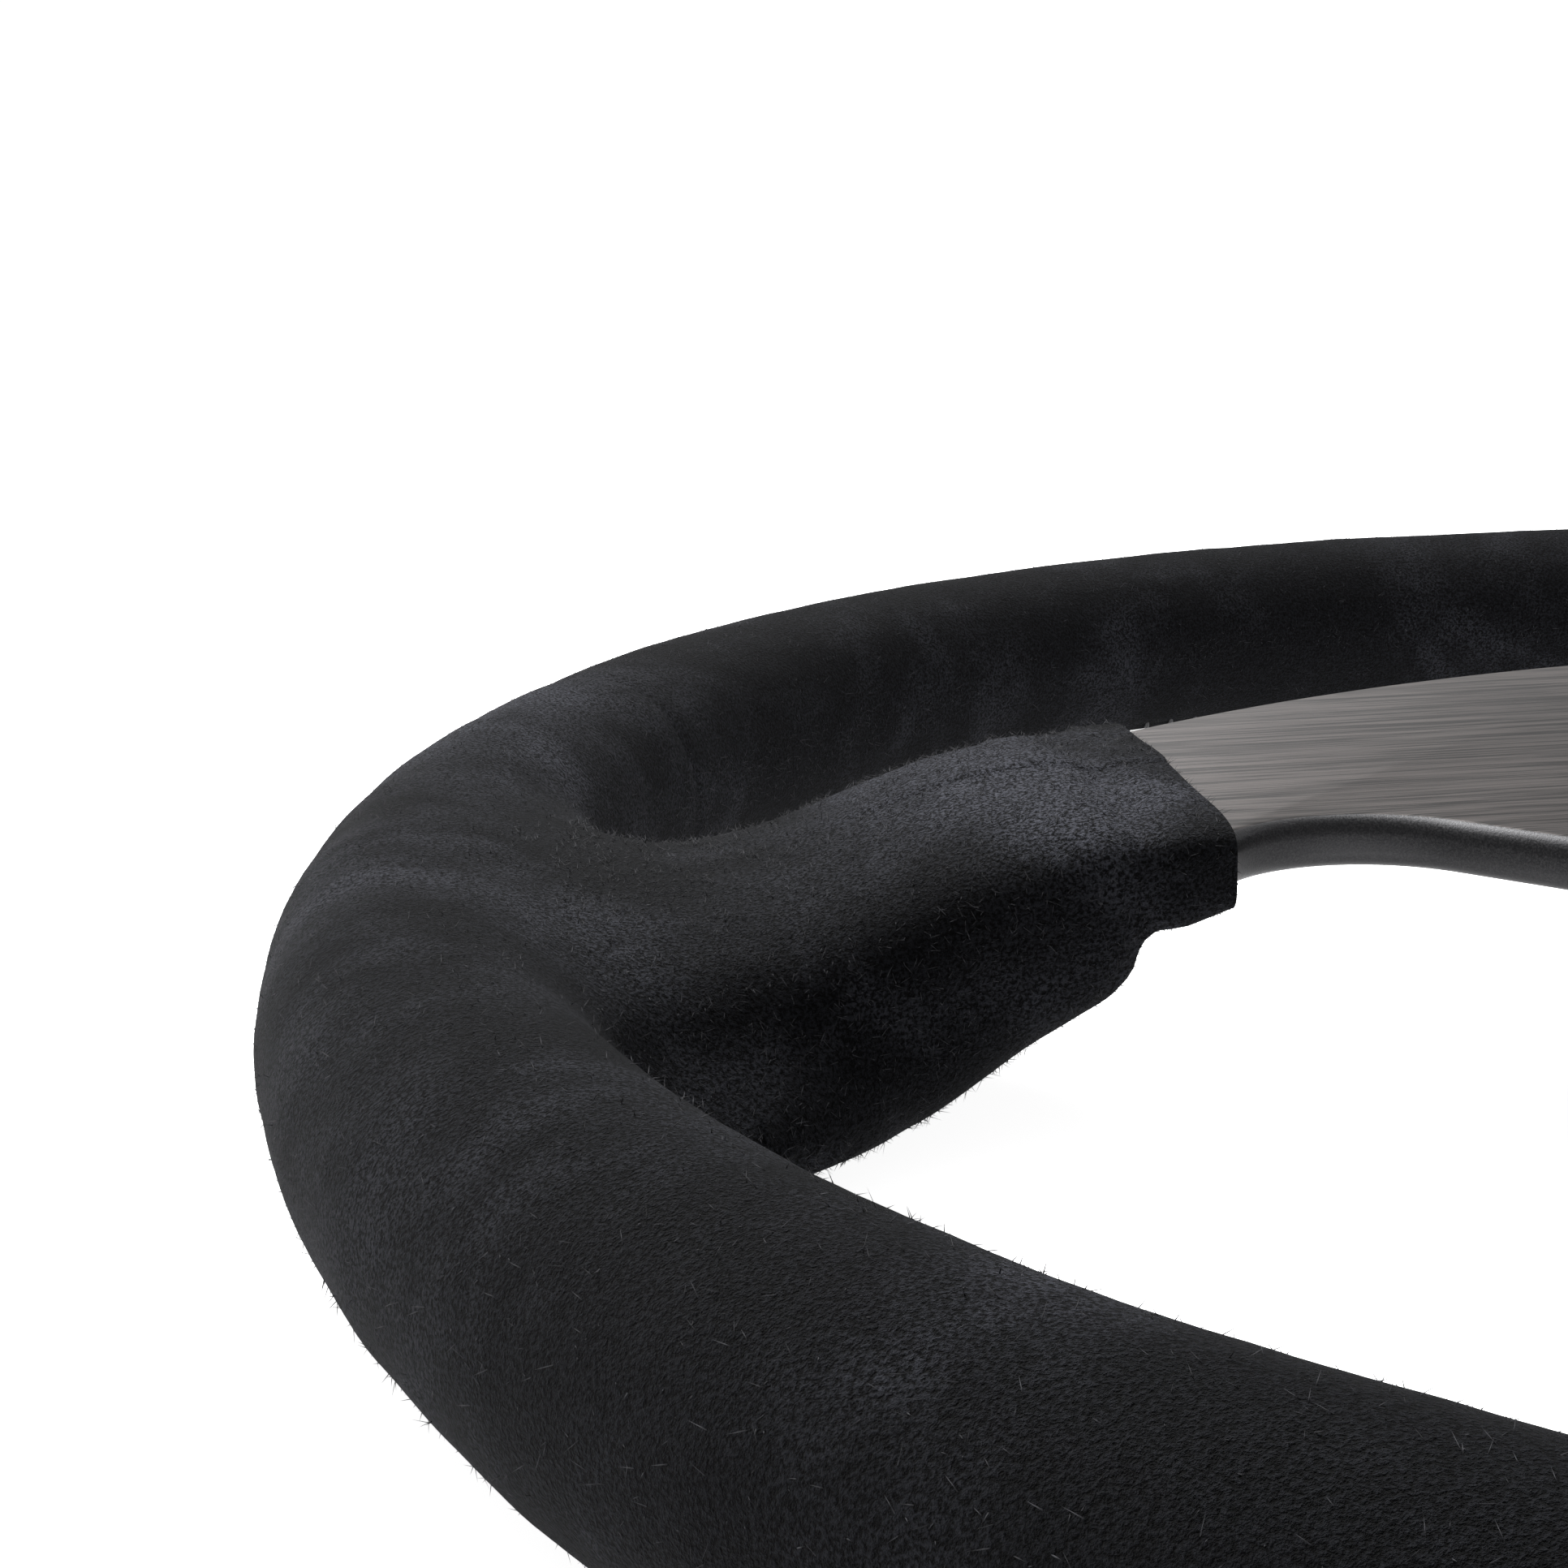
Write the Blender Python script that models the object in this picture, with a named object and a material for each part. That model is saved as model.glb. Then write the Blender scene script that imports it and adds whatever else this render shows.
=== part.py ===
"""Quick release steering wheel, lying face-down: the column side is up.

Frame: metres, +Z up along the column axis, origin under the wheel's centre on the
surface that the rim rests on. The spokes point along -X, +X and -Y, and twelve
o'clock on the rim is +Y.
"""

import math

import bmesh
import bpy
from mathutils import Matrix, Vector

MM = 0.001
GAP = 0.3                   # between pieces that touch

# Driving dimensions, in millimetres
WHEEL_DIAMETER = 350.0
GRIP_RADIUS = 14.15         # radius of the grip's round section
SUEDE = 1.2                 # thickness of the suede skin
CORE_RADIUS = 5.0           # radius of the steel ring inside the grip
PLATE_THICKNESS = 5.0
PLATE_RISE = 13.5           # from the rim's mid-plane to the plate's mid-plane
HEM_REACH = 86.0            # from the centre to the suede's cut edge on a spoke
ARM_REACH = 94.0            # from the centre to the inner end of the padded arm
BEND_REACH = 95.0           # where each spoke bends down towards the rim
BEND_SLOPE = 0.34
SCREW_CIRCLE = 35.0         # radius of the circle of six screws
BUTTON_TRAVEL = 2.0
COLLAR_TRAVEL = 7.0
BALL_TRAVEL = 1.3

RING_RADIUS = WHEEL_DIAMETER / 2 - GRIP_RADIUS
MID_Z = GRIP_RADIUS                         # the rim's mid-plane
PLATE_BOTTOM = MID_Z + PLATE_RISE - PLATE_THICKNESS / 2
PLATE_TOP = PLATE_BOTTOM + PLATE_THICKNESS
SPOKE_END = RING_RADIUS - CORE_RADIUS - GAP
SPOKE_ANGLES = (180, 0, -90)

# Turning resolution
RIM_STEPS = 52
RIM_SECTION_STEPS = 12
CORE_SECTION_STEPS = 8
TURN_STEPS = 36
SHARP_ANGLE = math.radians(35)

# Quick release, heights along the column axis
FLANGE_BOTTOM = PLATE_TOP + GAP
FLANGE_TOP = FLANGE_BOTTOM + 10.0
FLANGE_RADIUS = 40.0
BARREL_RADIUS = 24.0
BARREL_TOP = 78.5
SOCKET_RADIUS = 18.0        # smooth mouth that guides the column's boss
SPLINE_ROOT = 17.2
SPLINE_TIP = 15.6
SPLINE_COUNT = 20
SPLINE_TOP = 58.0
RECESS_RADIUS = 25.8        # room for the horn housing under the barrel
RECESS_TOP = FLANGE_BOTTOM + 5.2
BALL_RADIUS = 3.5
BALL_Z = 65.0
BALL_COUNT = 6
BALL_REST = BARREL_RADIUS + 0.1 - BALL_RADIUS
COLLAR_BOTTOM = 48.5
COLLAR_TOP = 74.0
COLLAR_RADIUS = 33.4
COLLAR_LIP_RADIUS = 36.0
COLLAR_BORE = BARREL_RADIUS + 0.35
POCKET_RADIUS = 28.4        # room in the collar for its spring
POCKET_TOP = 58.5
BAND_BOTTOM = COLLAR_BOTTOM + 4.6
BAND_TOP = BAND_BOTTOM + 7.0
BAND_SEAT_RADIUS = 31.6
SCALLOPS = 9                # shallow finger hollows round the collar
SCALLOP_DEPTH = 1.4
STOP_RING_THICKNESS = 1.6
STOP_GROOVE_BOTTOM = COLLAR_TOP + GAP - 0.2
STOP_GROOVE_TOP = STOP_GROOVE_BOTTOM + STOP_RING_THICKNESS + 0.4

# Horn button, heights
HORN_RING_TOP = PLATE_BOTTOM - GAP
HORN_RING_BOTTOM = HORN_RING_TOP - 3.2
HORN_RING_RADIUS = 40.0
HORN_SHELF_TOP = HORN_RING_TOP - 1.5
HORN_OPENING = 22.4
CUP_RADIUS = 25.2
CUP_BORE = 23.9
CUP_TOP = RECESS_TOP - GAP
CUP_ROOF = CUP_TOP - 1.6
BUTTON_FLANGE_BOTTOM = HORN_SHELF_TOP + GAP
BUTTON_FLANGE_TOP = BUTTON_FLANGE_BOTTOM + 2.0
TERMINAL_REACH = 12.0


# --- Scene, materials and mesh helpers -------------------------------------------

def clear_scene():
    for item in list(bpy.data.objects):
        bpy.data.objects.remove(item, do_unlink=True)


def material(name, colour, roughness, metallic=0.0):
    made = bpy.data.materials.new(name)
    made.use_nodes = True
    shader = made.node_tree.nodes["Principled BSDF"]
    shader.inputs["Base Color"].default_value = (*colour, 1.0)
    shader.inputs["Roughness"].default_value = roughness
    shader.inputs["Metallic"].default_value = metallic
    made.diffuse_color = (*colour, 1.0)
    return made


def add_object(name, mesh, finish=None):
    thing = bpy.data.objects.new(name, mesh)
    bpy.context.collection.objects.link(thing)
    if finish is not None:
        mesh.materials.append(finish)
    return thing


def mesh_from(name, points, faces):
    """A closed mesh from points in millimetres, with its faces turned outwards."""
    mesh = bpy.data.meshes.new(name)
    mesh.from_pydata([Vector(point) * MM for point in points], [], faces)
    body = bmesh.new()
    body.from_mesh(mesh)
    bmesh.ops.recalc_face_normals(body, faces=body.faces)
    body.to_mesh(mesh)
    body.free()
    mesh.shade_smooth()
    mesh.set_sharp_from_angle(angle=SHARP_ANGLE)
    return mesh


def turned(name, profile, finish=None, steps=TURN_STEPS, shape=None):
    """A closed profile of (radius, height) turned about Z.

    shape(angle, radius, height) may give another radius, for scallops.
    """
    points = []
    for step in range(steps):
        angle = math.tau * step / steps
        for radius, height in profile:
            if shape is not None:
                radius = shape(angle, radius, height)
            points.append((radius * math.cos(angle), radius * math.sin(angle), height))
    count = len(profile)
    faces = []
    for step in range(steps):
        here = step * count
        there = (step + 1) % steps * count
        for k in range(count):
            after = (k + 1) % count
            faces.append((here + k, there + k, there + after, here + after))
    return add_object(name, mesh_from(name, points, faces), finish)


def turned_solid(name, profile, finish=None, steps=TURN_STEPS):
    """An open profile that starts and ends on the axis, turned about Z."""
    points = [(0, 0, profile[0][1]), (0, 0, profile[-1][1])]
    inner = profile[1:-1]
    for step in range(steps):
        angle = math.tau * step / steps
        for radius, height in inner:
            points.append((radius * math.cos(angle), radius * math.sin(angle), height))
    count = len(inner)
    faces = []
    for step in range(steps):
        here = 2 + step * count
        there = 2 + (step + 1) % steps * count
        for k in range(count - 1):
            faces.append((here + k, there + k, there + k + 1, here + k + 1))
        faces.append((0, there, here))
        faces.append((1, here + count - 1, there + count - 1))
    return add_object(name, mesh_from(name, points, faces), finish)


def circle_profile(radius, centre_radius, centre_height, steps):
    return [
        (
            centre_radius + radius * math.cos(math.tau * k / steps),
            centre_height + radius * math.sin(math.tau * k / steps),
        )
        for k in range(steps)
    ]


def lofted(name, sections, finish=None):
    """A closed solid through sections with equally many points each."""
    count = len(sections[0])
    points = [point for section in sections for point in section]
    faces = []
    for row in range(len(sections) - 1):
        here = row * count
        there = here + count
        for k in range(count):
            after = (k + 1) % count
            faces.append((here + k, here + after, there + after, there + k))
    faces.append(tuple(range(count)))
    faces.append(tuple(range(len(points) - count, len(points))))
    return add_object(name, mesh_from(name, points, faces), finish)


def extruded(name, outline, bottom, top, finish=None):
    sections = [[(x, y, height) for x, y in outline] for height in (bottom, top)]
    return lofted(name, sections, finish)


def rod(name, radius, bottom, top, centre=(0.0, 0.0), steps=16, finish=None):
    outline = [
        (
            centre[0] + radius * math.cos(math.tau * (k + 0.5) / steps),
            centre[1] + radius * math.sin(math.tau * (k + 0.5) / steps),
        )
        for k in range(steps)
    ]
    return extruded(name, outline, bottom, top, finish)


def boolean(target, operation, *tools):
    """Cut or join with each tool at once, so the tools can be removed."""
    for tool in tools:
        change = target.modifiers.new(tool.name, "BOOLEAN")
        change.operation = operation
        change.solver = "EXACT"
        change.object = tool
        bpy.context.view_layer.update()
        graph = bpy.context.evaluated_depsgraph_get()
        result = bpy.data.meshes.new_from_object(target.evaluated_get(graph))
        target.modifiers.clear()
        target.data = result
        bpy.data.objects.remove(tool, do_unlink=True)
    tidy_mesh(target)
    return target


def tidy_mesh(target):
    """Weld the points that a cut leaves on top of each other."""
    body = bmesh.new()
    body.from_mesh(target.data)
    bmesh.ops.remove_doubles(body, verts=body.verts, dist=0.01 * MM)
    bmesh.ops.dissolve_degenerate(body, edges=body.edges, dist=0.002 * MM)
    body.to_mesh(target.data)
    body.free()
    target.data.shade_smooth()
    target.data.set_sharp_from_angle(angle=SHARP_ANGLE)


def turn_about_z(thing, degrees):
    thing.data.transform(Matrix.Rotation(math.radians(degrees), 4, "Z"))
    return thing


def set_origin(thing, point):
    """Move an object's origin to a point in millimetres and leave its shape in place."""
    place = Vector(point) * MM
    thing.data.transform(Matrix.Translation(-place))
    thing.location = place


# --- Rim and covered arms --------------------------------------------------------

# The padded arm's skin: reach from the centre, half-width, top and bottom heights
# above the rim's mid-plane, and squareness of the section, where 2 is an ellipse.
# The arm grows from the thin plate to the thick rim.
ARM_STATIONS = (
    (ARM_REACH, 23.8, 18.4, 3.0, 4.0),
    (104.0, 23.8, 16.6, -2.6, 3.4),
    (114.0, 24.2, 13.8, -7.6, 2.9),
    (124.0, 25.2, 11.2, -11.2, 2.6),
    (136.0, 28.0, 9.6, -13.0, 2.4),
    (148.0, 33.0, 10.2, -13.2, 2.4),
    (160.0, 36.0, 11.0, -12.6, 2.4),
)
ARM_SECTION_STEPS = 14


def arm_section(reach, half_width, top, bottom, squareness):
    middle = MID_Z + (top + bottom) / 2
    half_height = (top - bottom) / 2
    power = 2 / squareness
    section = []
    for k in range(ARM_SECTION_STEPS):
        angle = math.tau * (k + 0.5) / ARM_SECTION_STEPS
        across = math.copysign(abs(math.cos(angle)) ** power, math.cos(angle))
        upwards = math.copysign(abs(math.sin(angle)) ** power, math.sin(angle))
        section.append((reach, half_width * across, middle + half_height * upwards))
    return section


def arm(name, inset):
    """The arm along +X, made smaller all round by the inset."""
    sections = []
    for reach, half_width, top, bottom, squareness in ARM_STATIONS:
        if reach == ARM_REACH:
            reach += inset
        size = (half_width - inset, top - inset, bottom + inset)
        sections.append(arm_section(reach, *size, squareness))
    return lofted(name, sections)


def torus(name, radius, steps):
    profile = circle_profile(radius, RING_RADIUS, MID_Z, steps)
    return turned(name, profile, None, RIM_STEPS)


def rim_and_arms(name, inset):
    body = torus(name, GRIP_RADIUS - inset, RIM_SECTION_STEPS)
    arms = [turn_about_z(arm(f"arm{angle}", inset), angle) for angle in SPOKE_ANGLES]
    return boolean(body, "UNION", *arms)


def suede_flap(name):
    """The thin end of the suede, wrapped tight round a spoke and cut square."""
    half_width = SPOKE_HALF_WIDTH + GAP + SUEDE
    below = PLATE_BOTTOM - GAP - SUEDE
    above = PLATE_TOP + GAP + SUEDE
    bevel = 1.8
    section = [
        (-half_width, below + bevel),
        (-half_width + bevel, below),
        (half_width - bevel, below),
        (half_width, below + bevel),
        (half_width, above - bevel),
        (half_width - bevel, above),
        (-half_width + bevel, above),
        (-half_width, above - bevel),
    ]
    ends = (HEM_REACH, ARM_REACH + SUEDE / 2)
    return lofted(name, [[(reach, y, z) for y, z in section] for reach in ends])


def make_cover(finish):
    cover = rim_and_arms("suede_cover", 0.0)
    flaps = [turn_about_z(suede_flap(f"flap{angle}"), angle) for angle in SPOKE_ANGLES]
    boolean(cover, "UNION", *flaps)
    boolean(cover, "DIFFERENCE", rim_and_arms("cover_inside", SUEDE), plate_room())
    cover.data.materials.clear()
    cover.data.materials.append(finish)


def make_foam(finish):
    foam = rim_and_arms("foam_grip", SUEDE + GAP)
    channel = torus("channel", CORE_RADIUS + GAP, CORE_SECTION_STEPS)
    boolean(foam, "DIFFERENCE", channel, plate_room())
    foam.data.materials.clear()
    foam.data.materials.append(finish)


def make_core(finish):
    core = torus("rim_core", CORE_RADIUS, CORE_SECTION_STEPS)
    core.data.materials.append(finish)


# --- Spoke plate -----------------------------------------------------------------

NECK_REACH = 75.4           # narrowest place of a spoke, beside its hem
NECK_HALF_WIDTH = 17.5
NECK_RADIUS = 14.2
SPOKE_HALF_WIDTH = 22.25    # at the hem
TAPER_START = 88.5          # under the suede the spoke narrows to a tongue
TONGUE_START = 98.0
TONGUE_HALF_WIDTH = 15.0
BROW_RADIUS = 161.5         # the long arc over the hub, on the twelve o'clock side
BROW_TOP = 47.0
PLATE_BORE = 25.5
SCREW_CLEARANCE = 2.75
EDGE_ROUND = 2.0


def neck_arc(steps=7):
    """The concave side of the left spoke, from its hem to the slanted web."""
    centre_x = -NECK_REACH
    centre_y = -NECK_HALF_WIDTH - NECK_RADIUS
    start = math.acos((centre_x + HEM_REACH) / -NECK_RADIUS)
    end = math.radians(45)
    arc = []
    for k in range(steps + 1):
        angle = start + (end - start) * k / steps
        x = centre_x + NECK_RADIUS * math.cos(angle)
        y = centre_y + NECK_RADIUS * math.sin(angle)
        arc.append((x, y))
    return arc


def tongue(steps=4):
    """The covered end of the left spoke, from its lower to its upper side."""
    half_angle = math.asin(TONGUE_HALF_WIDTH / SPOKE_END)
    end = []
    for k in range(steps + 1):
        angle = half_angle * (1 - 2 * k / steps)
        end.append((-SPOKE_END * math.cos(angle), -SPOKE_END * math.sin(angle)))
    lower = [(-TAPER_START, -SPOKE_HALF_WIDTH), (-TONGUE_START, -TONGUE_HALF_WIDTH)]
    upper = [(x, -y) for x, y in reversed(lower)]
    return lower + end + upper


def brow(steps=12):
    """The long arc from the left spoke over the hub to the right one."""
    centre_y = BROW_TOP - BROW_RADIUS
    reach = math.asin(HEM_REACH / BROW_RADIUS)
    arc = []
    for k in range(steps + 1):
        angle = reach * (2 * k / steps - 1)
        x = BROW_RADIUS * math.sin(angle)
        arc.append((x, centre_y + BROW_RADIUS * math.cos(angle)))
    return arc


def plate_outline():
    """Once round the plate, from the slanted web beside the left spoke."""
    neck = neck_arc()
    left_neck = list(reversed(neck))
    right_neck = [(-x, y) for x, y in neck]
    foot = [(y, x) for x, y in neck]                 # left side of the bottom spoke
    foot_mirrored = [(-x, y) for x, y in reversed(foot)]
    left = tongue()
    right = [(-x, y) for x, y in reversed(left)]
    bottom = [(y, x) for x, y in reversed(left)]
    return left_neck + left + brow() + right + right_neck + foot_mirrored + bottom + foot


def bend_spokes(body):
    """Slope each spoke down from its bend until it is level with the steel ring."""
    drop_length = PLATE_RISE / BEND_SLOPE
    for direction in (Vector((-1, 0, 0)), Vector((1, 0, 0)), Vector((0, -1, 0))):
        for reach in (BEND_REACH + 0.01, BEND_REACH + drop_length):
            bmesh.ops.bisect_plane(
                body,
                geom=body.verts[:] + body.edges[:] + body.faces[:],
                plane_co=direction * reach * MM,
                plane_no=direction,
                dist=1e-7,
            )
    for point in body.verts:
        reach = max(abs(point.co.x), -point.co.y) / MM
        drop = min(max(reach - BEND_REACH - 0.01, 0.0), drop_length) * BEND_SLOPE
        point.co.z -= drop * MM


def bent_plate(name, outline, bottom, top):
    plate = extruded(name, outline, bottom, top)
    body = bmesh.new()
    body.from_mesh(plate.data)
    bend_spokes(body)
    body.to_mesh(plate.data)
    body.free()
    return plate


def plate_room():
    """The space round the covered part of the plate's spokes."""
    width = SPOKE_HALF_WIDTH + GAP
    narrow = TONGUE_HALF_WIDTH + GAP
    end = SPOKE_END + GAP + 0.2
    begin = HEM_REACH - 12.0
    side = [(begin, width), (TAPER_START, width), (TONGUE_START, narrow), (end, narrow)]
    outline = side + [(x, -y) for x, y in reversed(side)]
    bottom = PLATE_BOTTOM - GAP
    top = PLATE_TOP + GAP
    rooms = []
    for angle in SPOKE_ANGLES:
        room = extruded(f"room{angle}", outline, bottom, top)
        turn_about_z(room, angle)
        body = bmesh.new()
        body.from_mesh(room.data)
        bend_spokes(body)
        body.to_mesh(room.data)
        body.free()
        rooms.append(room)
    return boolean(rooms[0], "UNION", *rooms[1:])


def round_outline_edges(plate):
    """Round the long edges of the outline on both faces."""
    body = bmesh.new()
    body.from_mesh(plate.data)
    body.normal_update()
    edges = []
    for edge in body.edges:
        if len(edge.link_faces) != 2:
            continue
        steep = [abs(face.normal.z) < 0.3 for face in edge.link_faces]
        if steep[0] != steep[1]:
            edges.append(edge)
    bmesh.ops.bevel(
        body, geom=edges, offset=EDGE_ROUND * MM, offset_type="OFFSET",
        segments=2, profile=0.5, affect="EDGES", clamp_overlap=True,
    )
    body.to_mesh(plate.data)
    body.free()


def screw_places():
    for k in range(6):
        angle = math.radians(30 + 60 * k)
        yield SCREW_CIRCLE * math.cos(angle), SCREW_CIRCLE * math.sin(angle)


def screw_holes(bottom, top, radius=SCREW_CLEARANCE):
    return [
        rod(f"hole{k}", radius, bottom, top, place, 12)
        for k, place in enumerate(screw_places())
    ]


def make_plate(finish):
    plate = bent_plate("spoke_plate", plate_outline(), PLATE_BOTTOM, PLATE_TOP)
    round_outline_edges(plate)
    bore = rod("bore", PLATE_BORE, PLATE_BOTTOM - 1, PLATE_TOP + 1, steps=TURN_STEPS)
    boolean(plate, "DIFFERENCE", bore, *screw_holes(PLATE_BOTTOM - 1, PLATE_TOP + 1))
    plate.data.materials.clear()
    plate.data.materials.append(finish)


# --- Quick release ---------------------------------------------------------------

def make_hub(finish):
    """Flange, barrel and splined socket in one turned and broached piece."""
    profile = [
        (RECESS_RADIUS, FLANGE_BOTTOM),
        (FLANGE_RADIUS - 1.0, FLANGE_BOTTOM),
        (FLANGE_RADIUS, FLANGE_BOTTOM + 1.0),
        (FLANGE_RADIUS, FLANGE_TOP - 3.4),
        (FLANGE_RADIUS - 1.4, FLANGE_TOP - 2.0),
        (30.0, FLANGE_TOP - 2.0),
        (28.0, FLANGE_TOP),
        (BARREL_RADIUS, FLANGE_TOP),
        (BARREL_RADIUS, STOP_GROOVE_BOTTOM),
        (BARREL_RADIUS - 1.4, STOP_GROOVE_BOTTOM),
        (BARREL_RADIUS - 1.4, STOP_GROOVE_TOP),
        (BARREL_RADIUS, STOP_GROOVE_TOP),
        (BARREL_RADIUS, BARREL_TOP - 1.2),
        (BARREL_RADIUS - 1.2, BARREL_TOP),
        (SOCKET_RADIUS + 1.2, BARREL_TOP),
        (SOCKET_RADIUS, BARREL_TOP - 1.2),
        (SOCKET_RADIUS, SPLINE_TOP),
        (SPLINE_TIP, SPLINE_TOP),
        (SPLINE_TIP, RECESS_TOP),
        (RECESS_RADIUS, RECESS_TOP),
    ]
    hub = turned("release_hub", profile, finish)
    boolean(hub, "DIFFERENCE", spline_broach(), *ball_holes())
    boolean(hub, "DIFFERENCE", *screw_holes(FLANGE_BOTTOM - 1, FLANGE_TOP + 1))
    hub.data.materials.clear()
    hub.data.materials.append(finish)


def spline_broach():
    """The form that cuts the straight spline grooves in the socket."""
    outline = []
    pitch = math.tau / SPLINE_COUNT
    for k in range(SPLINE_COUNT):
        for radius, share in (
            (SPLINE_TIP - 0.5, 0.0),
            (SPLINE_TIP - 0.5, 0.40),
            (SPLINE_ROOT, 0.55),
            (SPLINE_ROOT, 0.85),
        ):
            angle = pitch * (k + share)
            outline.append((radius * math.cos(angle), radius * math.sin(angle)))
    return extruded("broach", outline, RECESS_TOP - 1.0, SPLINE_TOP + 0.5)


def ball_holes():
    """Radial holes for the balls, narrower at the inside so no ball falls through."""
    holes = []
    for k in range(BALL_COUNT):
        sections = []
        for reach, radius in (
            (SOCKET_RADIUS - 2.0, BALL_RADIUS - 0.35),
            (SOCKET_RADIUS + 0.6, BALL_RADIUS - 0.1),
            (BALL_REST - 1.0, BALL_RADIUS + GAP),
            (BARREL_RADIUS + 2.0, BALL_RADIUS + GAP),
        ):
            radius += 0.15
            sections.append([
                (
                    reach,
                    radius * math.cos(math.tau * n / 12),
                    BALL_Z + radius * math.sin(math.tau * n / 12),
                )
                for n in range(12)
            ])
        hole = lofted(f"ball_hole{k}", sections)
        holes.append(turn_about_z(hole, 360 * k / BALL_COUNT))
    return holes


def make_balls(finish):
    for k in range(BALL_COUNT):
        mesh = bpy.data.meshes.new(f"lock_ball_{k + 1}")
        body = bmesh.new()
        bmesh.ops.create_uvsphere(
            body, u_segments=12, v_segments=6, radius=BALL_RADIUS * MM,
        )
        body.to_mesh(mesh)
        body.free()
        mesh.shade_smooth()
        ball = add_object(f"lock_ball_{k + 1}", mesh, finish)
        angle = math.tau * k / BALL_COUNT
        place = Vector((BALL_REST * math.cos(angle), BALL_REST * math.sin(angle), BALL_Z))
        ball.location = place * MM


def scalloped(angle, radius, height):
    """Finger hollows in the collar's outer wall, above its rubber band."""
    if radius < COLLAR_RADIUS or height <= BAND_TOP or height > COLLAR_TOP - 1.5:
        return radius
    return radius - SCALLOP_DEPTH * (1 + math.cos(SCALLOPS * angle)) / 2


def make_collar(finish):
    """Sliding collar with a finger lip; its bore opens upwards to free the balls."""
    opening = BALL_TRAVEL / COLLAR_TRAVEL
    cone_start = BALL_Z - 0.5
    cone_end = COLLAR_BORE + opening * (COLLAR_TOP - cone_start)
    profile = [
        (POCKET_RADIUS, COLLAR_BOTTOM),
        (COLLAR_LIP_RADIUS - 1.0, COLLAR_BOTTOM),
        (COLLAR_LIP_RADIUS, COLLAR_BOTTOM + 1.0),
        (COLLAR_LIP_RADIUS, COLLAR_BOTTOM + 3.0),
        (COLLAR_RADIUS, BAND_BOTTOM),
        (BAND_SEAT_RADIUS, BAND_BOTTOM),
        (BAND_SEAT_RADIUS, BAND_TOP),
        (COLLAR_RADIUS, BAND_TOP),
        (COLLAR_RADIUS, BAND_TOP + 1.2),
        (COLLAR_RADIUS, COLLAR_TOP - 2.5),
        (COLLAR_RADIUS - 2.4, COLLAR_TOP),
        (cone_end, COLLAR_TOP),
        (COLLAR_BORE, cone_start),
        (COLLAR_BORE, POCKET_TOP),
        (POCKET_RADIUS, POCKET_TOP),
    ]
    collar = turned("release_collar", profile, finish, shape=scalloped)
    set_origin(collar, (0, 0, COLLAR_BOTTOM))


def make_grip_band(finish):
    """Ribbed rubber band in the collar's outer groove."""
    low = BAND_BOTTOM + GAP
    high = BAND_TOP - GAP
    inside = BAND_SEAT_RADIUS + GAP
    ribs = 2
    rise = (high - low) / ribs
    profile = [(inside, low), (COLLAR_RADIUS, low)]
    for k in range(ribs):
        base = low + rise * k
        for share in (0.3, 0.7):
            profile.append((COLLAR_RADIUS + 0.8, base + share * rise))
        profile.append((COLLAR_RADIUS, base + rise))
    profile.append((inside, high))
    turned("collar_grip_band", profile, finish)


def helix_spring(name, mean_radius, wire_radius, bottom, top, turns, steps, finish):
    """A coil with level closed ends between two heights of its outside."""
    sides = 6
    low = bottom + wire_radius
    high = top - wire_radius
    count = int(turns * steps)
    sections = []
    for k in range(count + 1):
        share = k / count
        rise = min(max((share * turns - 0.7) / (turns - 1.4), 0.0), 1.0)
        squeeze = 0.35 * wire_radius
        height = low + squeeze + (high - low - 2 * squeeze) * rise
        height += squeeze * (2 * share - 1)
        angle = math.tau * turns * share
        section = []
        for n in range(sides):
            around = math.tau * n / sides
            radius = mean_radius + wire_radius * math.cos(around)
            section.append((
                radius * math.cos(angle),
                radius * math.sin(angle),
                height + wire_radius * math.sin(around),
            ))
        sections.append(section)
    return lofted(name, sections, finish)


def make_collar_spring(finish):
    spring = helix_spring(
        "collar_spring", 26.4, 0.8, FLANGE_TOP + GAP, POCKET_TOP - GAP, 5.0, 14, finish,
    )
    set_origin(spring, (0, 0, FLANGE_TOP + GAP))


def make_stop_ring(finish):
    """Open circlip in the barrel's groove; the collar stops against it."""
    low = COLLAR_TOP + GAP
    high = low + STOP_RING_THICKNESS
    sections = []
    opening = math.radians(9)
    steps = 40
    for k in range(steps + 1):
        angle = opening + (math.tau - 2 * opening) * k / steps
        outer = 27.6 + (1.2 if k in (0, 1, steps - 1, steps) else 0.0)
        section = []
        for radius, height in ((22.9, low), (outer, low), (outer, high), (22.9, high)):
            section.append((radius * math.cos(angle), radius * math.sin(angle), height))
        sections.append(section)
    lofted("collar_stop_ring", sections, finish)


# --- Horn button -----------------------------------------------------------------

def make_horn_ring(finish):
    profile = [
        (HORN_OPENING, HORN_RING_BOTTOM + 0.8),
        (HORN_OPENING + 0.8, HORN_RING_BOTTOM),
        (HORN_RING_RADIUS - 1.2, HORN_RING_BOTTOM),
        (HORN_RING_RADIUS, HORN_RING_BOTTOM + 1.2),
        (HORN_RING_RADIUS, HORN_RING_TOP),
        (CUP_RADIUS + 2.7, HORN_RING_TOP),
        (CUP_RADIUS + 2.7, HORN_SHELF_TOP),
        (HORN_OPENING, HORN_SHELF_TOP),
    ]
    ring = turned("horn_ring", profile, finish)
    boolean(ring, "DIFFERENCE", *screw_holes(HORN_RING_BOTTOM - 1, HORN_RING_TOP + 1))
    ring.data.materials.clear()
    ring.data.materials.append(finish)


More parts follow.
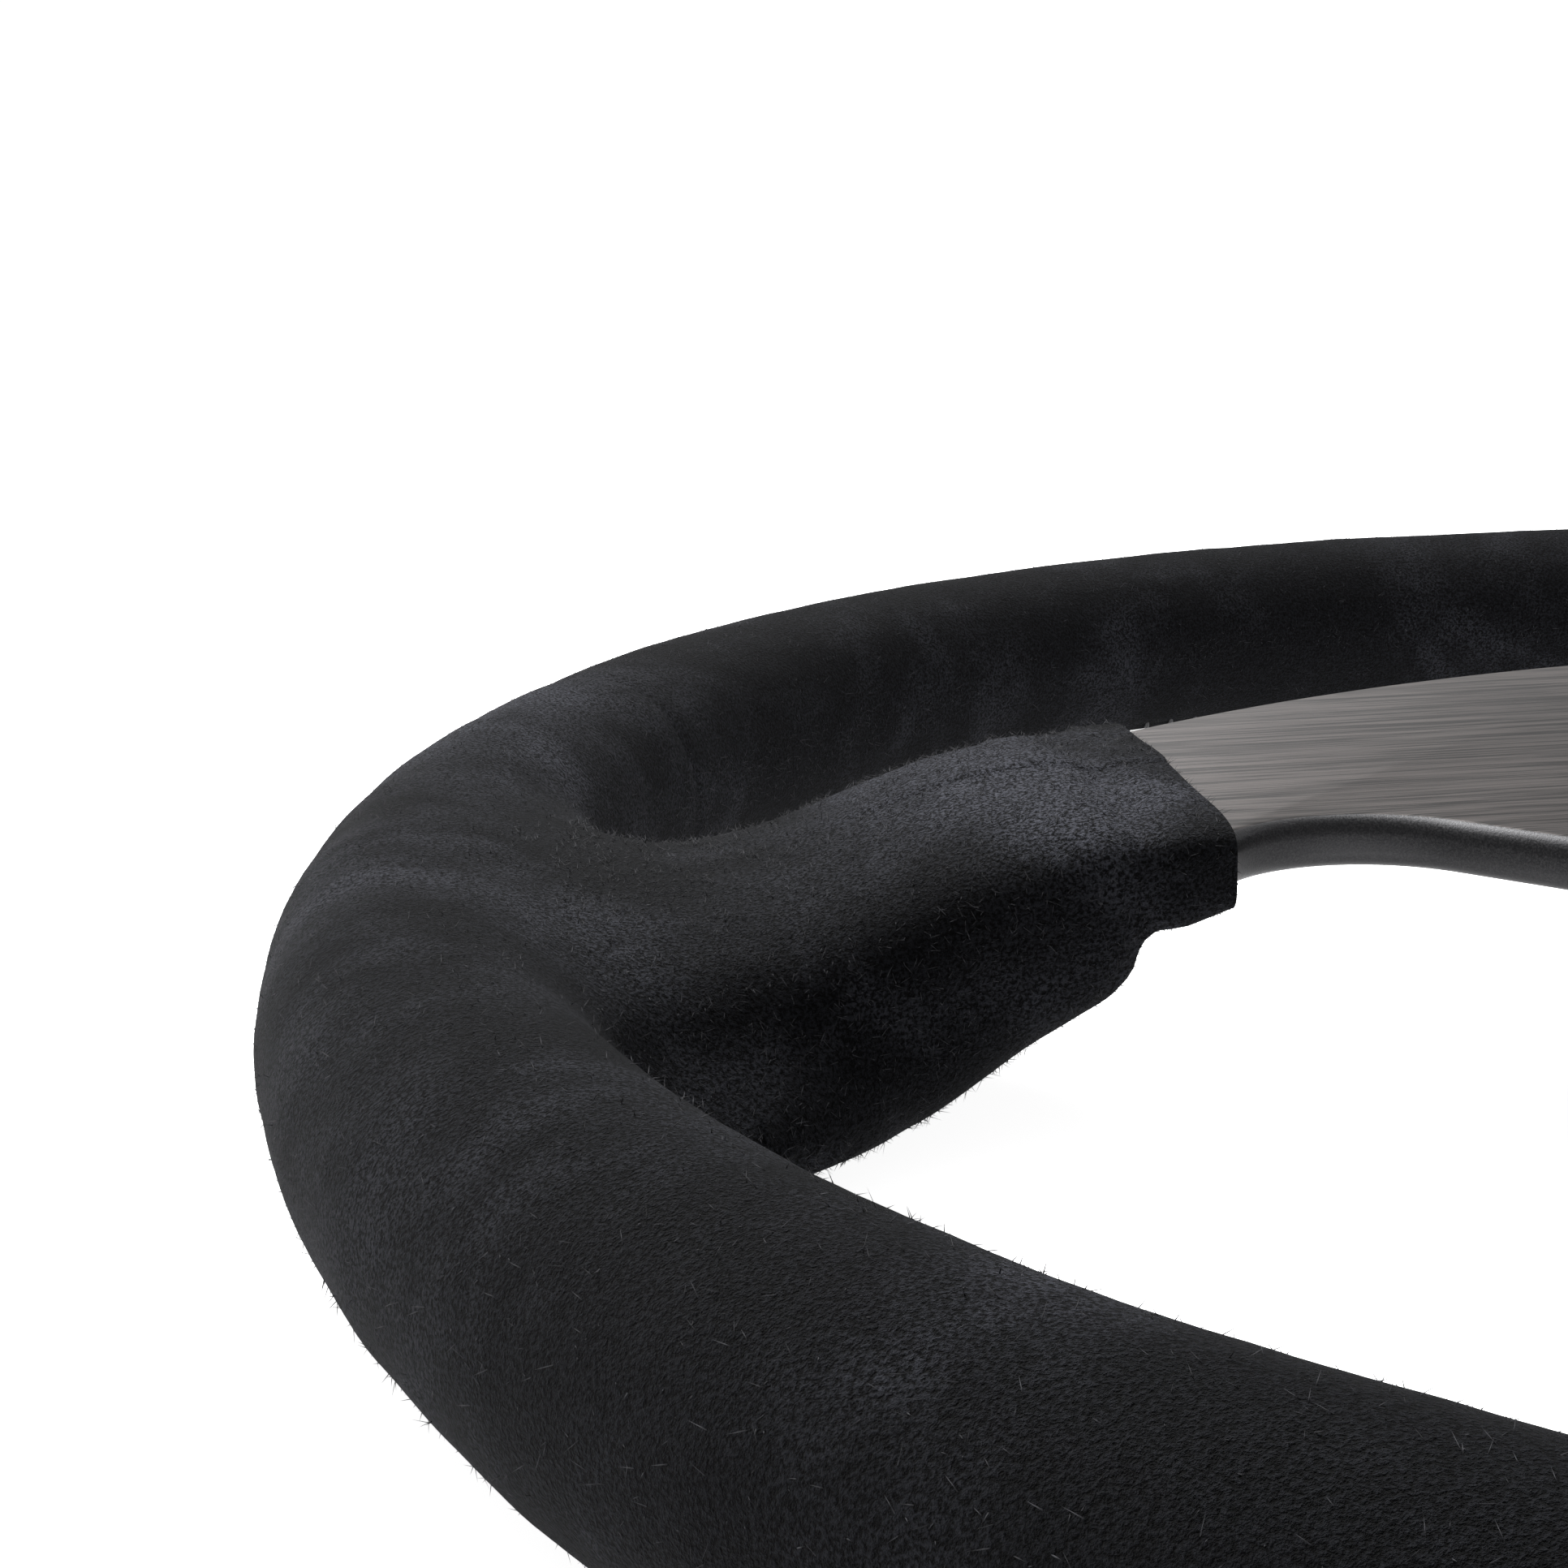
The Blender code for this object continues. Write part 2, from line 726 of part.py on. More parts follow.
def make_screws(finish):
    """M5 socket screws: heads on the driver's side, shanks up into the hub."""
    head_top = HORN_RING_BOTTOM - GAP
    head_bottom = head_top - 3.0
    steps = 12
    for k, place in enumerate(screw_places()):
        name = f"wheel_screw_{k + 1}"
        profile = [
            (0.0, FLANGE_TOP - 3.0),
            (2.1, FLANGE_TOP - 3.0),
            (2.45, FLANGE_TOP - 3.6),
            (2.45, head_top),
            (4.4, head_top),
            (4.4, head_bottom + 0.8),
            (3.6, head_bottom),
            (0.0, head_bottom),
        ]
        screw = turned_solid(name, profile, None, steps)
        socket = rod("socket", 1.75, head_bottom - 1.0, head_bottom + 2.0, steps=6)
        boolean(screw, "DIFFERENCE", socket)
        screw.data.materials.clear()
        screw.data.materials.append(finish)
        screw.location = Vector((place[0], place[1], 0)) * MM


def make_horn_housing(finish):
    lip = CUP_RADIUS + 2.4
    profile = [
        (CUP_BORE, HORN_SHELF_TOP + GAP),
        (lip, HORN_SHELF_TOP + GAP),
        (lip, PLATE_BOTTOM - GAP),
        (CUP_RADIUS, PLATE_BOTTOM - GAP),
        (CUP_RADIUS, CUP_TOP - 1.0),
        (CUP_RADIUS - 1.0, CUP_TOP),
        (5.0, CUP_TOP),
        (5.0, CUP_ROOF),
        (CUP_BORE, CUP_ROOF),
    ]
    housing = turned("horn_housing", profile, finish)
    holes = [
        rod(f"terminal_hole{side}", 1.8, CUP_ROOF - 1, CUP_TOP + 1, (side * TERMINAL_REACH, 0), 10)
        for side in (-1, 1)
    ]
    boolean(housing, "DIFFERENCE", *holes)
    housing.data.materials.clear()
    housing.data.materials.append(finish)


def make_horn_button(finish):
    """Domed cap with a retaining flange; hollow behind, with a post for its spring."""
    flange = CUP_BORE - GAP
    skirt = HORN_OPENING - GAP
    face = HORN_RING_BOTTOM - 5.5
    profile = [
        (0.0, face),
        (9.0, face + 0.25),
        (15.0, face + 0.8),
        (19.0, face + 1.7),
        (21.2, face + 3.0),
        (skirt, face + 4.6),
        (skirt, BUTTON_FLANGE_BOTTOM),
        (flange, BUTTON_FLANGE_BOTTOM),
        (flange, BUTTON_FLANGE_TOP),
        (9.5, BUTTON_FLANGE_TOP),
        (9.5, BUTTON_FLANGE_TOP - 3.5),
        (4.5, BUTTON_FLANGE_TOP - 3.5),
        (4.5, BUTTON_FLANGE_TOP + 2.0),
        (0.0, BUTTON_FLANGE_TOP + 2.0),
    ]
    button = turned_solid("horn_button", profile, finish)
    set_origin(button, (0, 0, BUTTON_FLANGE_BOTTOM))


def make_horn_spring(finish):
    low = BUTTON_FLANGE_TOP - 3.5 + GAP
    spring = helix_spring("horn_spring", 7.0, 0.6, low, CUP_ROOF - GAP, 4.0, 12, finish)
    set_origin(spring, (0, 0, CUP_ROOF - GAP))


def make_contact_disc(finish):
    low = BUTTON_FLANGE_TOP + GAP
    profile = [(10.0, low), (20.0, low), (20.0, low + 0.8), (10.0, low + 0.8)]
    turned("horn_contact_disc", profile, finish, 24)


def make_terminals(finish):
    """Brass studs: each tip hangs above the contact disc, and its tail takes a wire."""
    tip = BUTTON_FLANGE_TOP + GAP + 0.8 + BUTTON_TRAVEL + GAP
    for k, side in enumerate((-1, 1)):
        profile = [
            (0.0, CUP_TOP + 9.0),
            (0.9, CUP_TOP + 9.0),
            (1.2, CUP_TOP + 8.4),
            (1.2, CUP_TOP + 2.3),
            (2.6, CUP_TOP + 1.7),
            (2.6, CUP_TOP + GAP),
            (1.5, CUP_TOP + GAP),
            (1.5, CUP_ROOF - GAP),
            (2.4, CUP_ROOF - GAP),
            (2.4, tip + 0.5),
            (1.9, tip),
            (0.0, tip),
        ]
        stud = turned_solid(f"horn_terminal_{k + 1}", profile, finish, 10)
        stud.location = Vector((side * TERMINAL_REACH, 0, 0)) * MM


def build():
    clear_scene()
    suede = material("suede", (0.018, 0.021, 0.027), 0.95)
    foam = material("foam", (0.05, 0.05, 0.05), 0.9)
    steel = material("steel", (0.45, 0.45, 0.46), 0.35, 1.0)
    anodised = material("anodised_plate", (0.12, 0.115, 0.11), 0.38, 0.9)
    hub_metal = material("hub_metal", (0.06, 0.06, 0.065), 0.42, 0.9)
    collar_metal = material("collar_metal", (0.62, 0.63, 0.65), 0.3, 1.0)
    screw_steel = material("screw_steel", (0.08, 0.08, 0.085), 0.35, 1.0)
    plastic = material("black_plastic", (0.02, 0.02, 0.022), 0.45)
    rubber = material("rubber", (0.015, 0.015, 0.015), 0.8)
    brass = material("brass", (0.78, 0.57, 0.24), 0.3, 1.0)

    make_cover(suede)
    make_foam(foam)
    make_core(steel)
    make_plate(anodised)

    make_hub(hub_metal)
    make_balls(steel)
    make_collar(collar_metal)
    make_grip_band(rubber)
    make_collar_spring(steel)
    make_stop_ring(screw_steel)

    make_horn_ring(hub_metal)
    make_screws(screw_steel)
    make_horn_housing(plastic)
    make_horn_button(plastic)
    make_horn_spring(steel)
    make_contact_disc(brass)
    make_terminals(brass)


build()
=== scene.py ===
"""Looks of the quick release steering wheel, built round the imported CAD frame.

Lengths in this script are millimetres in the frame's axes, turned into metres when a
mesh is made. +Z is the column side, +Y is twelve o'clock, and the wheel lies on its rim.
"""

import math

import bmesh
import bpy
import numpy as np
from mathutils import Matrix, Vector


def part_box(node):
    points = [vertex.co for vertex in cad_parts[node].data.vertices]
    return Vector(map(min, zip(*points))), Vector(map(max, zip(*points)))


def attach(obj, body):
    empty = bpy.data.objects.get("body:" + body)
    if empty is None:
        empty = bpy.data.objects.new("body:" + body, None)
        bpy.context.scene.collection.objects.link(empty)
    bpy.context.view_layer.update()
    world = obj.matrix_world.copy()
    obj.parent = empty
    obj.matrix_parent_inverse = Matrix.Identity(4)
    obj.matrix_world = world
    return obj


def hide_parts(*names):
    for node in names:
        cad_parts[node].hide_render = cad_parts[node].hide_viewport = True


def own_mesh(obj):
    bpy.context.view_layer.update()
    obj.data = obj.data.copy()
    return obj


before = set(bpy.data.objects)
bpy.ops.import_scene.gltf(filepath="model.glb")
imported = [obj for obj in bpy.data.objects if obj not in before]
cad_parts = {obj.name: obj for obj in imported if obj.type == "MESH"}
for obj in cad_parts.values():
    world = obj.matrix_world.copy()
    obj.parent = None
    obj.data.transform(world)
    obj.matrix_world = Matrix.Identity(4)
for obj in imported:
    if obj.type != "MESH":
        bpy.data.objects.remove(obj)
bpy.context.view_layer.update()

MM = 0.001
GAP = 0.3


def box_mm(node):
    low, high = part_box(node)
    return low / MM, high / MM


# --- Sizes read from the frame, and the design's own dimensions ------------------

COVER_HIGH = box_mm("suede_cover")[1]
PLATE_HIGH = box_mm("spoke_plate")[1]
HUB_LOW, HUB_HIGH = box_mm("release_hub")
COLLAR_LOW, COLLAR_HIGH = box_mm("release_collar")
RING_LOW, RING_HIGH = box_mm("horn_ring")
SCREW_HIGH = box_mm("wheel_screw_1")[1]
STOP_LOW, STOP_HIGH = box_mm("collar_stop_ring")
COLLAR_SPRING_LOW, COLLAR_SPRING_HIGH = box_mm("collar_spring")
HORN_SPRING_LOW, HORN_SPRING_HIGH = box_mm("horn_spring")

GRIP_RADIUS = 14.15
RING_RADIUS = COVER_HIGH.x - GRIP_RADIUS
MID_Z = GRIP_RADIUS
PLATE_TOP = PLATE_HIGH.z
PLATE_THICKNESS = 5.0
PLATE_BOTTOM = PLATE_TOP - PLATE_THICKNESS
PLATE_RISE = PLATE_TOP - PLATE_THICKNESS / 2 - MID_Z
HEM_REACH = 86.0
ARM_REACH = 94.0
SUEDE = 1.2
SPOKE_ANGLES = (180, 0, -90)
SEAM_ANGLES = (28.5, 151.5, -126.0, -54.0)
STITCH_TILT = math.radians(64)
STITCH_PITCH = 4.6
FIBRES = 49500
SCREW_CIRCLE = 35.0
SCREW_CLEARANCE = 2.75
COLLAR_TRAVEL = 7.0
BALL_TRAVEL = 1.3


# --- Mesh helpers ----------------------------------------------------------------

def finish_mesh(mesh, sharp=30):
    body = bmesh.new()
    body.from_mesh(mesh)
    bmesh.ops.recalc_face_normals(body, faces=body.faces)
    body.to_mesh(mesh)
    body.free()
    mesh.shade_smooth()
    mesh.set_sharp_from_angle(angle=math.radians(sharp))


def add_piece(name, points, faces, material, sharp=30):
    mesh = bpy.data.meshes.new(name)
    mesh.from_pydata([Vector(point) * MM for point in points], [], faces)
    finish_mesh(mesh, sharp)
    mesh.materials.append(material)
    piece = bpy.data.objects.new(name, mesh)
    bpy.context.scene.collection.objects.link(piece)
    return piece


def turned(name, profile, material, steps=128, shape=None, sharp=30, closed=True):
    """A profile of (radius, height) turned about Z.

    A closed profile makes a ring. An open one starts and ends on the axis.
    shape(angle, radius, height) may give another radius.
    """
    ring = profile if closed else profile[1:-1]
    count = len(ring)
    points = [] if closed else [(0, 0, profile[0][1]), (0, 0, profile[-1][1])]
    base = len(points)
    for step in range(steps):
        angle = math.tau * step / steps
        for radius, height in ring:
            if shape is not None:
                radius = shape(angle, radius, height)
            points.append((radius * math.cos(angle), radius * math.sin(angle), height))
    faces = []
    for step in range(steps):
        here = base + step * count
        there = base + (step + 1) % steps * count
        for k in range(count if closed else count - 1):
            after = (k + 1) % count
            faces.append((here + k, there + k, there + after, here + after))
        if not closed:
            faces.append((0, there, here))
            faces.append((1, here + count - 1, there + count - 1))
    return add_piece(name, points, faces, material, sharp)


def lofted(name, sections, material, sharp=30):
    """A closed solid through sections with equally many points each."""
    count = len(sections[0])
    points = [point for section in sections for point in section]
    faces = []
    for row in range(len(sections) - 1):
        here = row * count
        there = here + count
        for k in range(count):
            after = (k + 1) % count
            faces.append((here + k, here + after, there + after, there + k))
    faces.append(tuple(range(count)))
    faces.append(tuple(range(len(points) - count, len(points))))
    return add_piece(name, points, faces, material, sharp)


def extruded(name, outline, bottom, top, material):
    sections = [[(x, y, height) for x, y in outline] for height in (bottom, top)]
    return lofted(name, sections, material)


def soften(profile, radius, steps=3, closed=True):
    """The profile with its corners rounded to about a radius."""
    softened = []
    count = len(profile)
    for k, corner in enumerate(profile):
        if not closed and k in (0, count - 1):
            softened.append(corner)
            continue
        here = Vector(corner)
        before = Vector(profile[k - 1]) - here
        after = Vector(profile[(k + 1) % count]) - here
        if before.angle(-after) < math.radians(12):
            softened.append(corner)
            continue
        start = here + before * min(radius / before.length, 0.45)
        end = here + after * min(radius / after.length, 0.45)
        for n in range(steps + 1):
            t = n / steps
            softened.append(tuple(start * (1 - t) ** 2 + here * 2 * t * (1 - t) + end * t ** 2))
    return softened


def disc_outline(radius, steps, centre):
    return [
        (
            centre[0] + radius * math.cos(math.tau * (k + 0.5) / steps),
            centre[1] + radius * math.sin(math.tau * (k + 0.5) / steps),
        )
        for k in range(steps)
    ]


def rod(name, radius, bottom, top, centre=(0.0, 0.0), steps=32):
    return extruded(name, disc_outline(radius, steps, centre), bottom, top, None)


def boolean(target, operation, *tools, sharp=30):
    """Cut or join with each tool, apply the result and remove the tools."""
    for tool in tools:
        change = target.modifiers.new(tool.name, "BOOLEAN")
        change.operation = operation
        change.solver = "EXACT"
        change.object = tool
        bpy.context.view_layer.update()
        graph = bpy.context.evaluated_depsgraph_get()
        result = bpy.data.meshes.new_from_object(target.evaluated_get(graph))
        target.modifiers.clear()
        target.data = result
        bpy.data.objects.remove(tool, do_unlink=True)
    target.data.shade_smooth()
    target.data.set_sharp_from_angle(angle=math.radians(sharp))
    return target


def turn_about_z(piece, degrees):
    piece.data.transform(Matrix.Rotation(math.radians(degrees), 4, "Z"))
    return piece


def place(piece, body, slot, *nodes):
    """Ride on a CAD body and stand for CAD nodes. The slot is not used."""
    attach(piece, body)
    if nodes:
        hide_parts(*nodes)
    return piece


# --- Material helpers ------------------------------------------------------------

class Shader:
    """A material's node tree, with short calls for what these materials need."""

    def __init__(self, name):
        self.material = bpy.data.materials.new(name)
        self.material.use_nodes = True
        self.tree = self.material.node_tree
        self.surface = self.tree.nodes["Principled BSDF"]
        self.where = self.node("ShaderNodeTexCoord").outputs["Object"]

    def node(self, kind, **settings):
        made = self.tree.nodes.new(kind)
        for key, value in settings.items():
            setattr(made, key, value)
        return made

    def link(self, output, target):
        self.tree.links.new(output, target)

    def set(self, **values):
        for key, value in values.items():
            socket = self.surface.inputs[key.replace("_", " ")]
            socket.default_value = (*value, 1.0) if isinstance(value, tuple) else value

    def scaled(self, scale, source=None, turn=(0.0, 0.0, 0.0)):
        mapping = self.node("ShaderNodeMapping")
        mapping.inputs["Scale"].default_value = scale
        mapping.inputs["Rotation"].default_value = turn
        self.link(source or self.where, mapping.inputs["Vector"])
        return mapping.outputs["Vector"]

    def noise(self, scale, detail=2.0, rough=0.5, warp=0.0, source=None):
        made = self.node("ShaderNodeTexNoise")
        made.inputs["Scale"].default_value = scale
        made.inputs["Detail"].default_value = detail
        made.inputs["Roughness"].default_value = rough
        made.inputs["Distortion"].default_value = warp
        self.link(source or self.where, made.inputs["Vector"])
        return made.outputs["Fac"]

    def spread(self, source, low, high, to_low=0.0, to_high=1.0):
        made = self.node("ShaderNodeMapRange", interpolation_type="SMOOTHSTEP")
        for name, value in (
            ("From Min", low), ("From Max", high), ("To Min", to_low), ("To Max", to_high),
        ):
            made.inputs[name].default_value = value
        self.link(source, made.inputs["Value"])
        return made.outputs["Result"]

    def near(self, place, radius):
        """1 at a place in millimetres and 0 beyond the radius, on both sides of the wheel."""
        split = self.node("ShaderNodeSeparateXYZ")
        self.link(self.where, split.inputs["Vector"])
        mirrored = self.node("ShaderNodeCombineXYZ")
        self.link(self.maths("ABSOLUTE", split.outputs["X"], 0.0), mirrored.inputs["X"])
        self.link(split.outputs["Y"], mirrored.inputs["Y"])
        self.link(split.outputs["Z"], mirrored.inputs["Z"])
        away = self.node("ShaderNodeVectorMath", operation="DISTANCE")
        self.link(mirrored.outputs["Vector"], away.inputs[0])
        away.inputs[1].default_value = Vector((abs(place[0]), place[1], place[2])) * MM
        return self.spread(away.outputs["Value"], 0.0, radius * MM, 1.0, 0.0)

    def maths(self, operation, first, second):
        made = self.node("ShaderNodeMath", operation=operation)
        for socket, value in zip(made.inputs, (first, second)):
            if isinstance(value, (int, float)):
                socket.default_value = value
            else:
                self.link(value, socket)
        return made.outputs["Value"]

    def mix(self, share, first, second, blend="MIX"):
        made = self.node("ShaderNodeMix", data_type="RGBA", blend_type=blend)
        if isinstance(share, (int, float)):
            made.inputs["Factor"].default_value = share
        else:
            self.link(share, made.inputs["Factor"])
        for name, value in (("A", first), ("B", second)):
            socket = [s for s in made.inputs if s.name == name and s.type == "RGBA"][0]
            if isinstance(value, tuple):
                socket.default_value = (*value, 1.0)
            else:
                self.link(value, socket)
        return [s for s in made.outputs if s.type == "RGBA"][0]

    def bump(self, height, distance, strength=1.0, under=None):
        made = self.node("ShaderNodeBump")
        made.inputs["Strength"].default_value = strength
        made.inputs["Distance"].default_value = distance
        self.link(height, made.inputs["Height"])
        if under is not None:
            self.link(under, made.inputs["Normal"])
        self.link(made.outputs["Normal"], self.surface.inputs["Normal"])
        return made.outputs["Normal"]


# --- Materials -------------------------------------------------------------------

# Painted highlights: lighter nap where light falls on the arms' crowns and the rim, each given as
# a place, its radius and how much.
# The places are mirrored to the other side of the wheel.
PAINTED_HIGHLIGHT_PATCHES = (
    ((-98, -11, 38), 20, 1.7),
    ((-106, 8, 34), 24, 1.05),
    ((-122, -10, 26), 22, 0.35),
    ((-140, -22, 27), 20, 0.35),
    ((-166, -8, 27), 22, 0.35),
    ((-160, 46, 26), 34, 0.55),
    ((-150, 68, 24), 20, 0.45),
    ((-118, -100, 28), 14, 0.35),
)


def suede_material():
    """Black suede: short nap in strands, lighter and darker in random patches, with painted
    highlights where light falls.
    """
    s = Shader("suede")
    nap = s.noise(2900, 3.0, 0.65, 0.25)
    fine = s.noise(6500, 2.0, 0.6)
    patches = s.noise(30, 3.0, 0.6, 1.2)
    clouds = s.noise(95, 2.0, 0.5, 0.5)
    # Random lighter and darker patches in the nap; painted highlights are added to these below.
    nap_tone_and_highlights = s.maths("ADD", s.maths("MULTIPLY", patches, 0.6), s.maths("MULTIPLY", clouds, 0.4))
    nap_tone_and_highlights = s.maths("MULTIPLY", s.spread(nap_tone_and_highlights, 0.40, 0.66), 0.45)
    # Add painted highlights at the listed places, where light falls on the arms and rim.
    for spot, radius, share in PAINTED_HIGHLIGHT_PATCHES:
        nap_tone_and_highlights = s.maths("ADD", nap_tone_and_highlights, s.maths("MULTIPLY", s.near(spot, radius), share))
    dark, light = (0.0034, 0.0036, 0.0044), (0.0360, 0.0372, 0.0450)
    tone = s.mix(s.spread(nap_tone_and_highlights, 0.0, 1.3), dark, light)
    speckle = s.spread(nap, 0.39, 0.63, 0.10, 2.30)
    grey = s.node("ShaderNodeCombineColor")
    for socket in grey.inputs[:3]:
        s.link(speckle, socket)
    colour = s.mix(1.0, tone, grey.outputs["Color"], "MULTIPLY")
    s.link(colour, s.surface.inputs["Base Color"])
    s.set(Roughness=0.9, Specular_IOR_Level=0.06)
    s.set(Sheen_Weight=0.018, Sheen_Roughness=0.5, Sheen_Tint=(0.80, 0.82, 0.88))
    height = s.maths("ADD", nap, s.maths("MULTIPLY", fine, 0.35))
    s.bump(height, 0.0008, 1.0)
    return s.material


def fibre_material():
    s = Shader("suede_fibre")
    tone = s.noise(900, 2.0, 0.5)
    colour = s.mix(s.spread(tone, 0.35, 0.65), (0.006, 0.006, 0.007), (0.045, 0.045, 0.050))
    s.link(colour, s.surface.inputs["Base Color"])
    s.set(Roughness=0.8, Specular_IOR_Level=0.2)
    return s.material


def plate_face_material():
    """Dark anodised aluminium with hairlines along X."""
    s = Shader("plate_brushed")
    hairs = s.noise(3400, 2.0, 0.6, 0.0, s.scaled((0.022, 1.0, 1.0)))
    streaks = s.noise(700, 2.0, 0.5, 0.0, s.scaled((0.03, 1.0, 1.0)))
    drift = s.noise(14, 2.0, 0.5)
    mixed = s.maths("ADD", s.maths("MULTIPLY", hairs, 0.65), s.maths("MULTIPLY", streaks, 0.35))
    colour = s.mix(s.spread(mixed, 0.40, 0.60), (0.0080, 0.0070, 0.0067), (0.057, 0.0500, 0.0475))
    s.link(colour, s.surface.inputs["Base Color"])
    s.link(s.spread(drift, 0.3, 0.7, 0.38, 0.48), s.surface.inputs["Roughness"])
    s.set(Metallic=0.8, Anisotropic=0.4)
    s.bump(mixed, 0.00005, 0.8)
    return s.material


def plate_edge_material():
    """Bead-blasted black edge with a fine sparkle."""
    s = Shader("plate_edge")
    grain = s.noise(5200, 2.0, 0.7)
    colour = s.mix(s.spread(grain, 0.35, 0.75), (0.018, 0.018, 0.020), (0.045, 0.044, 0.046))
    s.link(colour, s.surface.inputs["Base Color"])
    s.link(s.spread(grain, 0.3, 0.7, 0.34, 0.52), s.surface.inputs["Roughness"])
    s.set(Metallic=0.55)
    s.bump(grain, 0.00005, 0.5)
    return s.material


def turned_metal(name, dark, light, roughness, metallic=0.9, rings=2600, grain=0.3):
    """Lathe-turned metal: fine rings about Z, slight cloudiness, faint wear."""
    s = Shader(name)
    rounds = s.node("ShaderNodeTexNoise", noise_dimensions="1D")
    split = s.node("ShaderNodeSeparateXYZ")
    s.link(s.where, split.inputs["Vector"])
    rounds.inputs["Scale"].default_value = rings
    rounds.inputs["Detail"].default_value = 2.0
    s.link(split.outputs["Z"], rounds.inputs["W"])
    cloud = s.noise(60, 3.0, 0.6)
    fac = s.maths("ADD", s.maths("MULTIPLY", rounds.outputs["Fac"], grain),
                  s.maths("MULTIPLY", cloud, 1.0 - grain))
    s.link(s.mix(s.spread(fac, 0.35, 0.65), dark, light), s.surface.inputs["Base Color"])
    s.link(s.spread(cloud, 0.3, 0.7, roughness - 0.05, roughness + 0.07),
           s.surface.inputs["Roughness"])
    s.set(Metallic=metallic, Anisotropic=0.3)
    s.bump(rounds.outputs["Fac"], 0.00003, 0.5)
    return s.material


def plain_metal(name, dark, light, roughness, metallic=1.0):
    s = Shader(name)
    cloud = s.noise(220, 3.0, 0.6)
    grain = s.noise(3800, 2.0, 0.6)
    s.link(s.mix(s.spread(cloud, 0.35, 0.65), dark, light), s.surface.inputs["Base Color"])
    s.link(s.spread(grain, 0.3, 0.7, roughness - 0.04, roughness + 0.08),
           s.surface.inputs["Roughness"])
    s.set(Metallic=metallic)
    s.bump(grain, 0.00002, 0.4)
    return s.material


def moulded(name, dark, light, roughness, grain_scale=2400, depth=0.00008):
    """Moulded plastic, rubber or foam with a fine even texture."""
    s = Shader(name)
    grain = s.noise(grain_scale, 3.0, 0.6)
    cloud = s.noise(40, 3.0, 0.5)
    s.link(s.mix(s.spread(cloud, 0.3, 0.7), dark, light), s.surface.inputs["Base Color"])
    s.link(s.spread(grain, 0.3, 0.7, roughness - 0.06, roughness + 0.08),
           s.surface.inputs["Roughness"])
    s.bump(grain, depth, 0.6)
    return s.material


def thread_material():
    """Waxed black thread, twisted."""
    s = Shader("thread")
    twist = s.node("ShaderNodeTexWave", bands_direction="DIAGONAL")
    twist.inputs["Scale"].default_value = 900
    s.link(s.where, twist.inputs["Vector"])
    colour = s.mix(twist.outputs["Fac"], (0.018, 0.019, 0.021), (0.060, 0.062, 0.066))
    s.link(colour, s.surface.inputs["Base Color"])
    s.set(Roughness=0.6)
    s.bump(twist.outputs["Fac"], 0.0001, 0.6)
    return s.material


def floor_material():
    """White, and giving off light itself, so that it shows as plain white."""
    s = Shader("floor")
    s.set(Base_Color=(0.93, 0.93, 0.935), Roughness=0.8)
    s.set(Emission_Color=(1.0, 1.0, 1.0), Emission_Strength=0.92)
    return s.material


# --- Suede cover: an implicit surface, meshed and settled onto the field ---------

# The arm's skin: reach from the centre, half-width, top and bottom heights above the
# rim's mid-plane, and squareness of the section, where 2 is an ellipse.
ARM_STATIONS = np.array((
    (84.0, 23.2, 18.0, 5.0, 4.2),
    (94.0, 23.5, 18.0, 1.3, 4.0),
    (99.0, 23.5, 17.5, -2.4, 3.8),
    (104.0, 23.6, 17.4, -5.2, 3.6),
    (109.0, 23.8, 16.4, -9.0, 3.4),
    (114.0, 24.2, 14.8, -12.0, 3.2),
    (120.0, 24.9, 12.7, -14.0, 2.9),
    (126.0, 25.6, 10.7, -14.1, 2.6),
    (136.0, 27.0, 9.0, -14.1, 2.4),
    (148.0, 29.0, 9.0, -14.1, 2.4),
    (172.0, 30.0, 10.0, -14.1, 2.4),
))

# How much wider the arm's foot is than its top: reach from the centre, and the share.
FOOT_REACHES = (104.0, 116.0, 128.0, 146.0)
FOOT_SHARES = (0.0, 0.12, 0.48, 0.70)


def smooth_table(column, step=0.5, blur=6.0):
    """A smoothed curve through one column of the stations, as (reaches, values)."""
    reaches = np.arange(ARM_STATIONS[0, 0] - 30, ARM_STATIONS[-1, 0] + 30, step)
    values = np.interp(reaches, ARM_STATIONS[:, 0], ARM_STATIONS[:, column])
    spread = np.arange(-3 * blur, 3 * blur + step, step)
    weights = np.exp(-0.5 * (spread / (blur / 2)) ** 2)
    padded = np.pad(values, len(weights) // 2, mode="edge")
    return reaches, np.convolve(padded, weights / weights.sum(), mode="valid")


ARM_TABLES = [smooth_table(column) for column in (1, 2, 3, 4)]


def superellipse(across, upwards, half_width, half_height, power):
    """Signed distance, to first order, from a rounded rectangle's outline."""
    a = np.abs(across / half_width)
    b = np.abs(upwards / half_height)
    total = np.maximum(a ** power + b ** power, 1e-12)
    gauge = total ** (1 / power)
    slope_a = total ** (1 / power - 1) * a ** (power - 1) / half_width
    slope_b = total ** (1 / power - 1) * b ** (power - 1) / half_height
    return (gauge - 1) / np.sqrt(slope_a ** 2 + slope_b ** 2 + 1e-9)


def smooth_min(first, second, width):
    overlap = np.maximum(width - np.abs(first - second), 0.0)
    return np.minimum(first, second) - overlap ** 2 / (4 * width)


def smooth_max(first, second, width):
    return -smooth_min(-first, -second, width)


def window(value, centre, half_width):
    """A smooth hill, 1 at its centre and 0 beyond its half-width."""
    share = np.clip(1 - np.abs(value - centre) / half_width, 0.0, 1.0)
    return share * share * (3 - 2 * share)


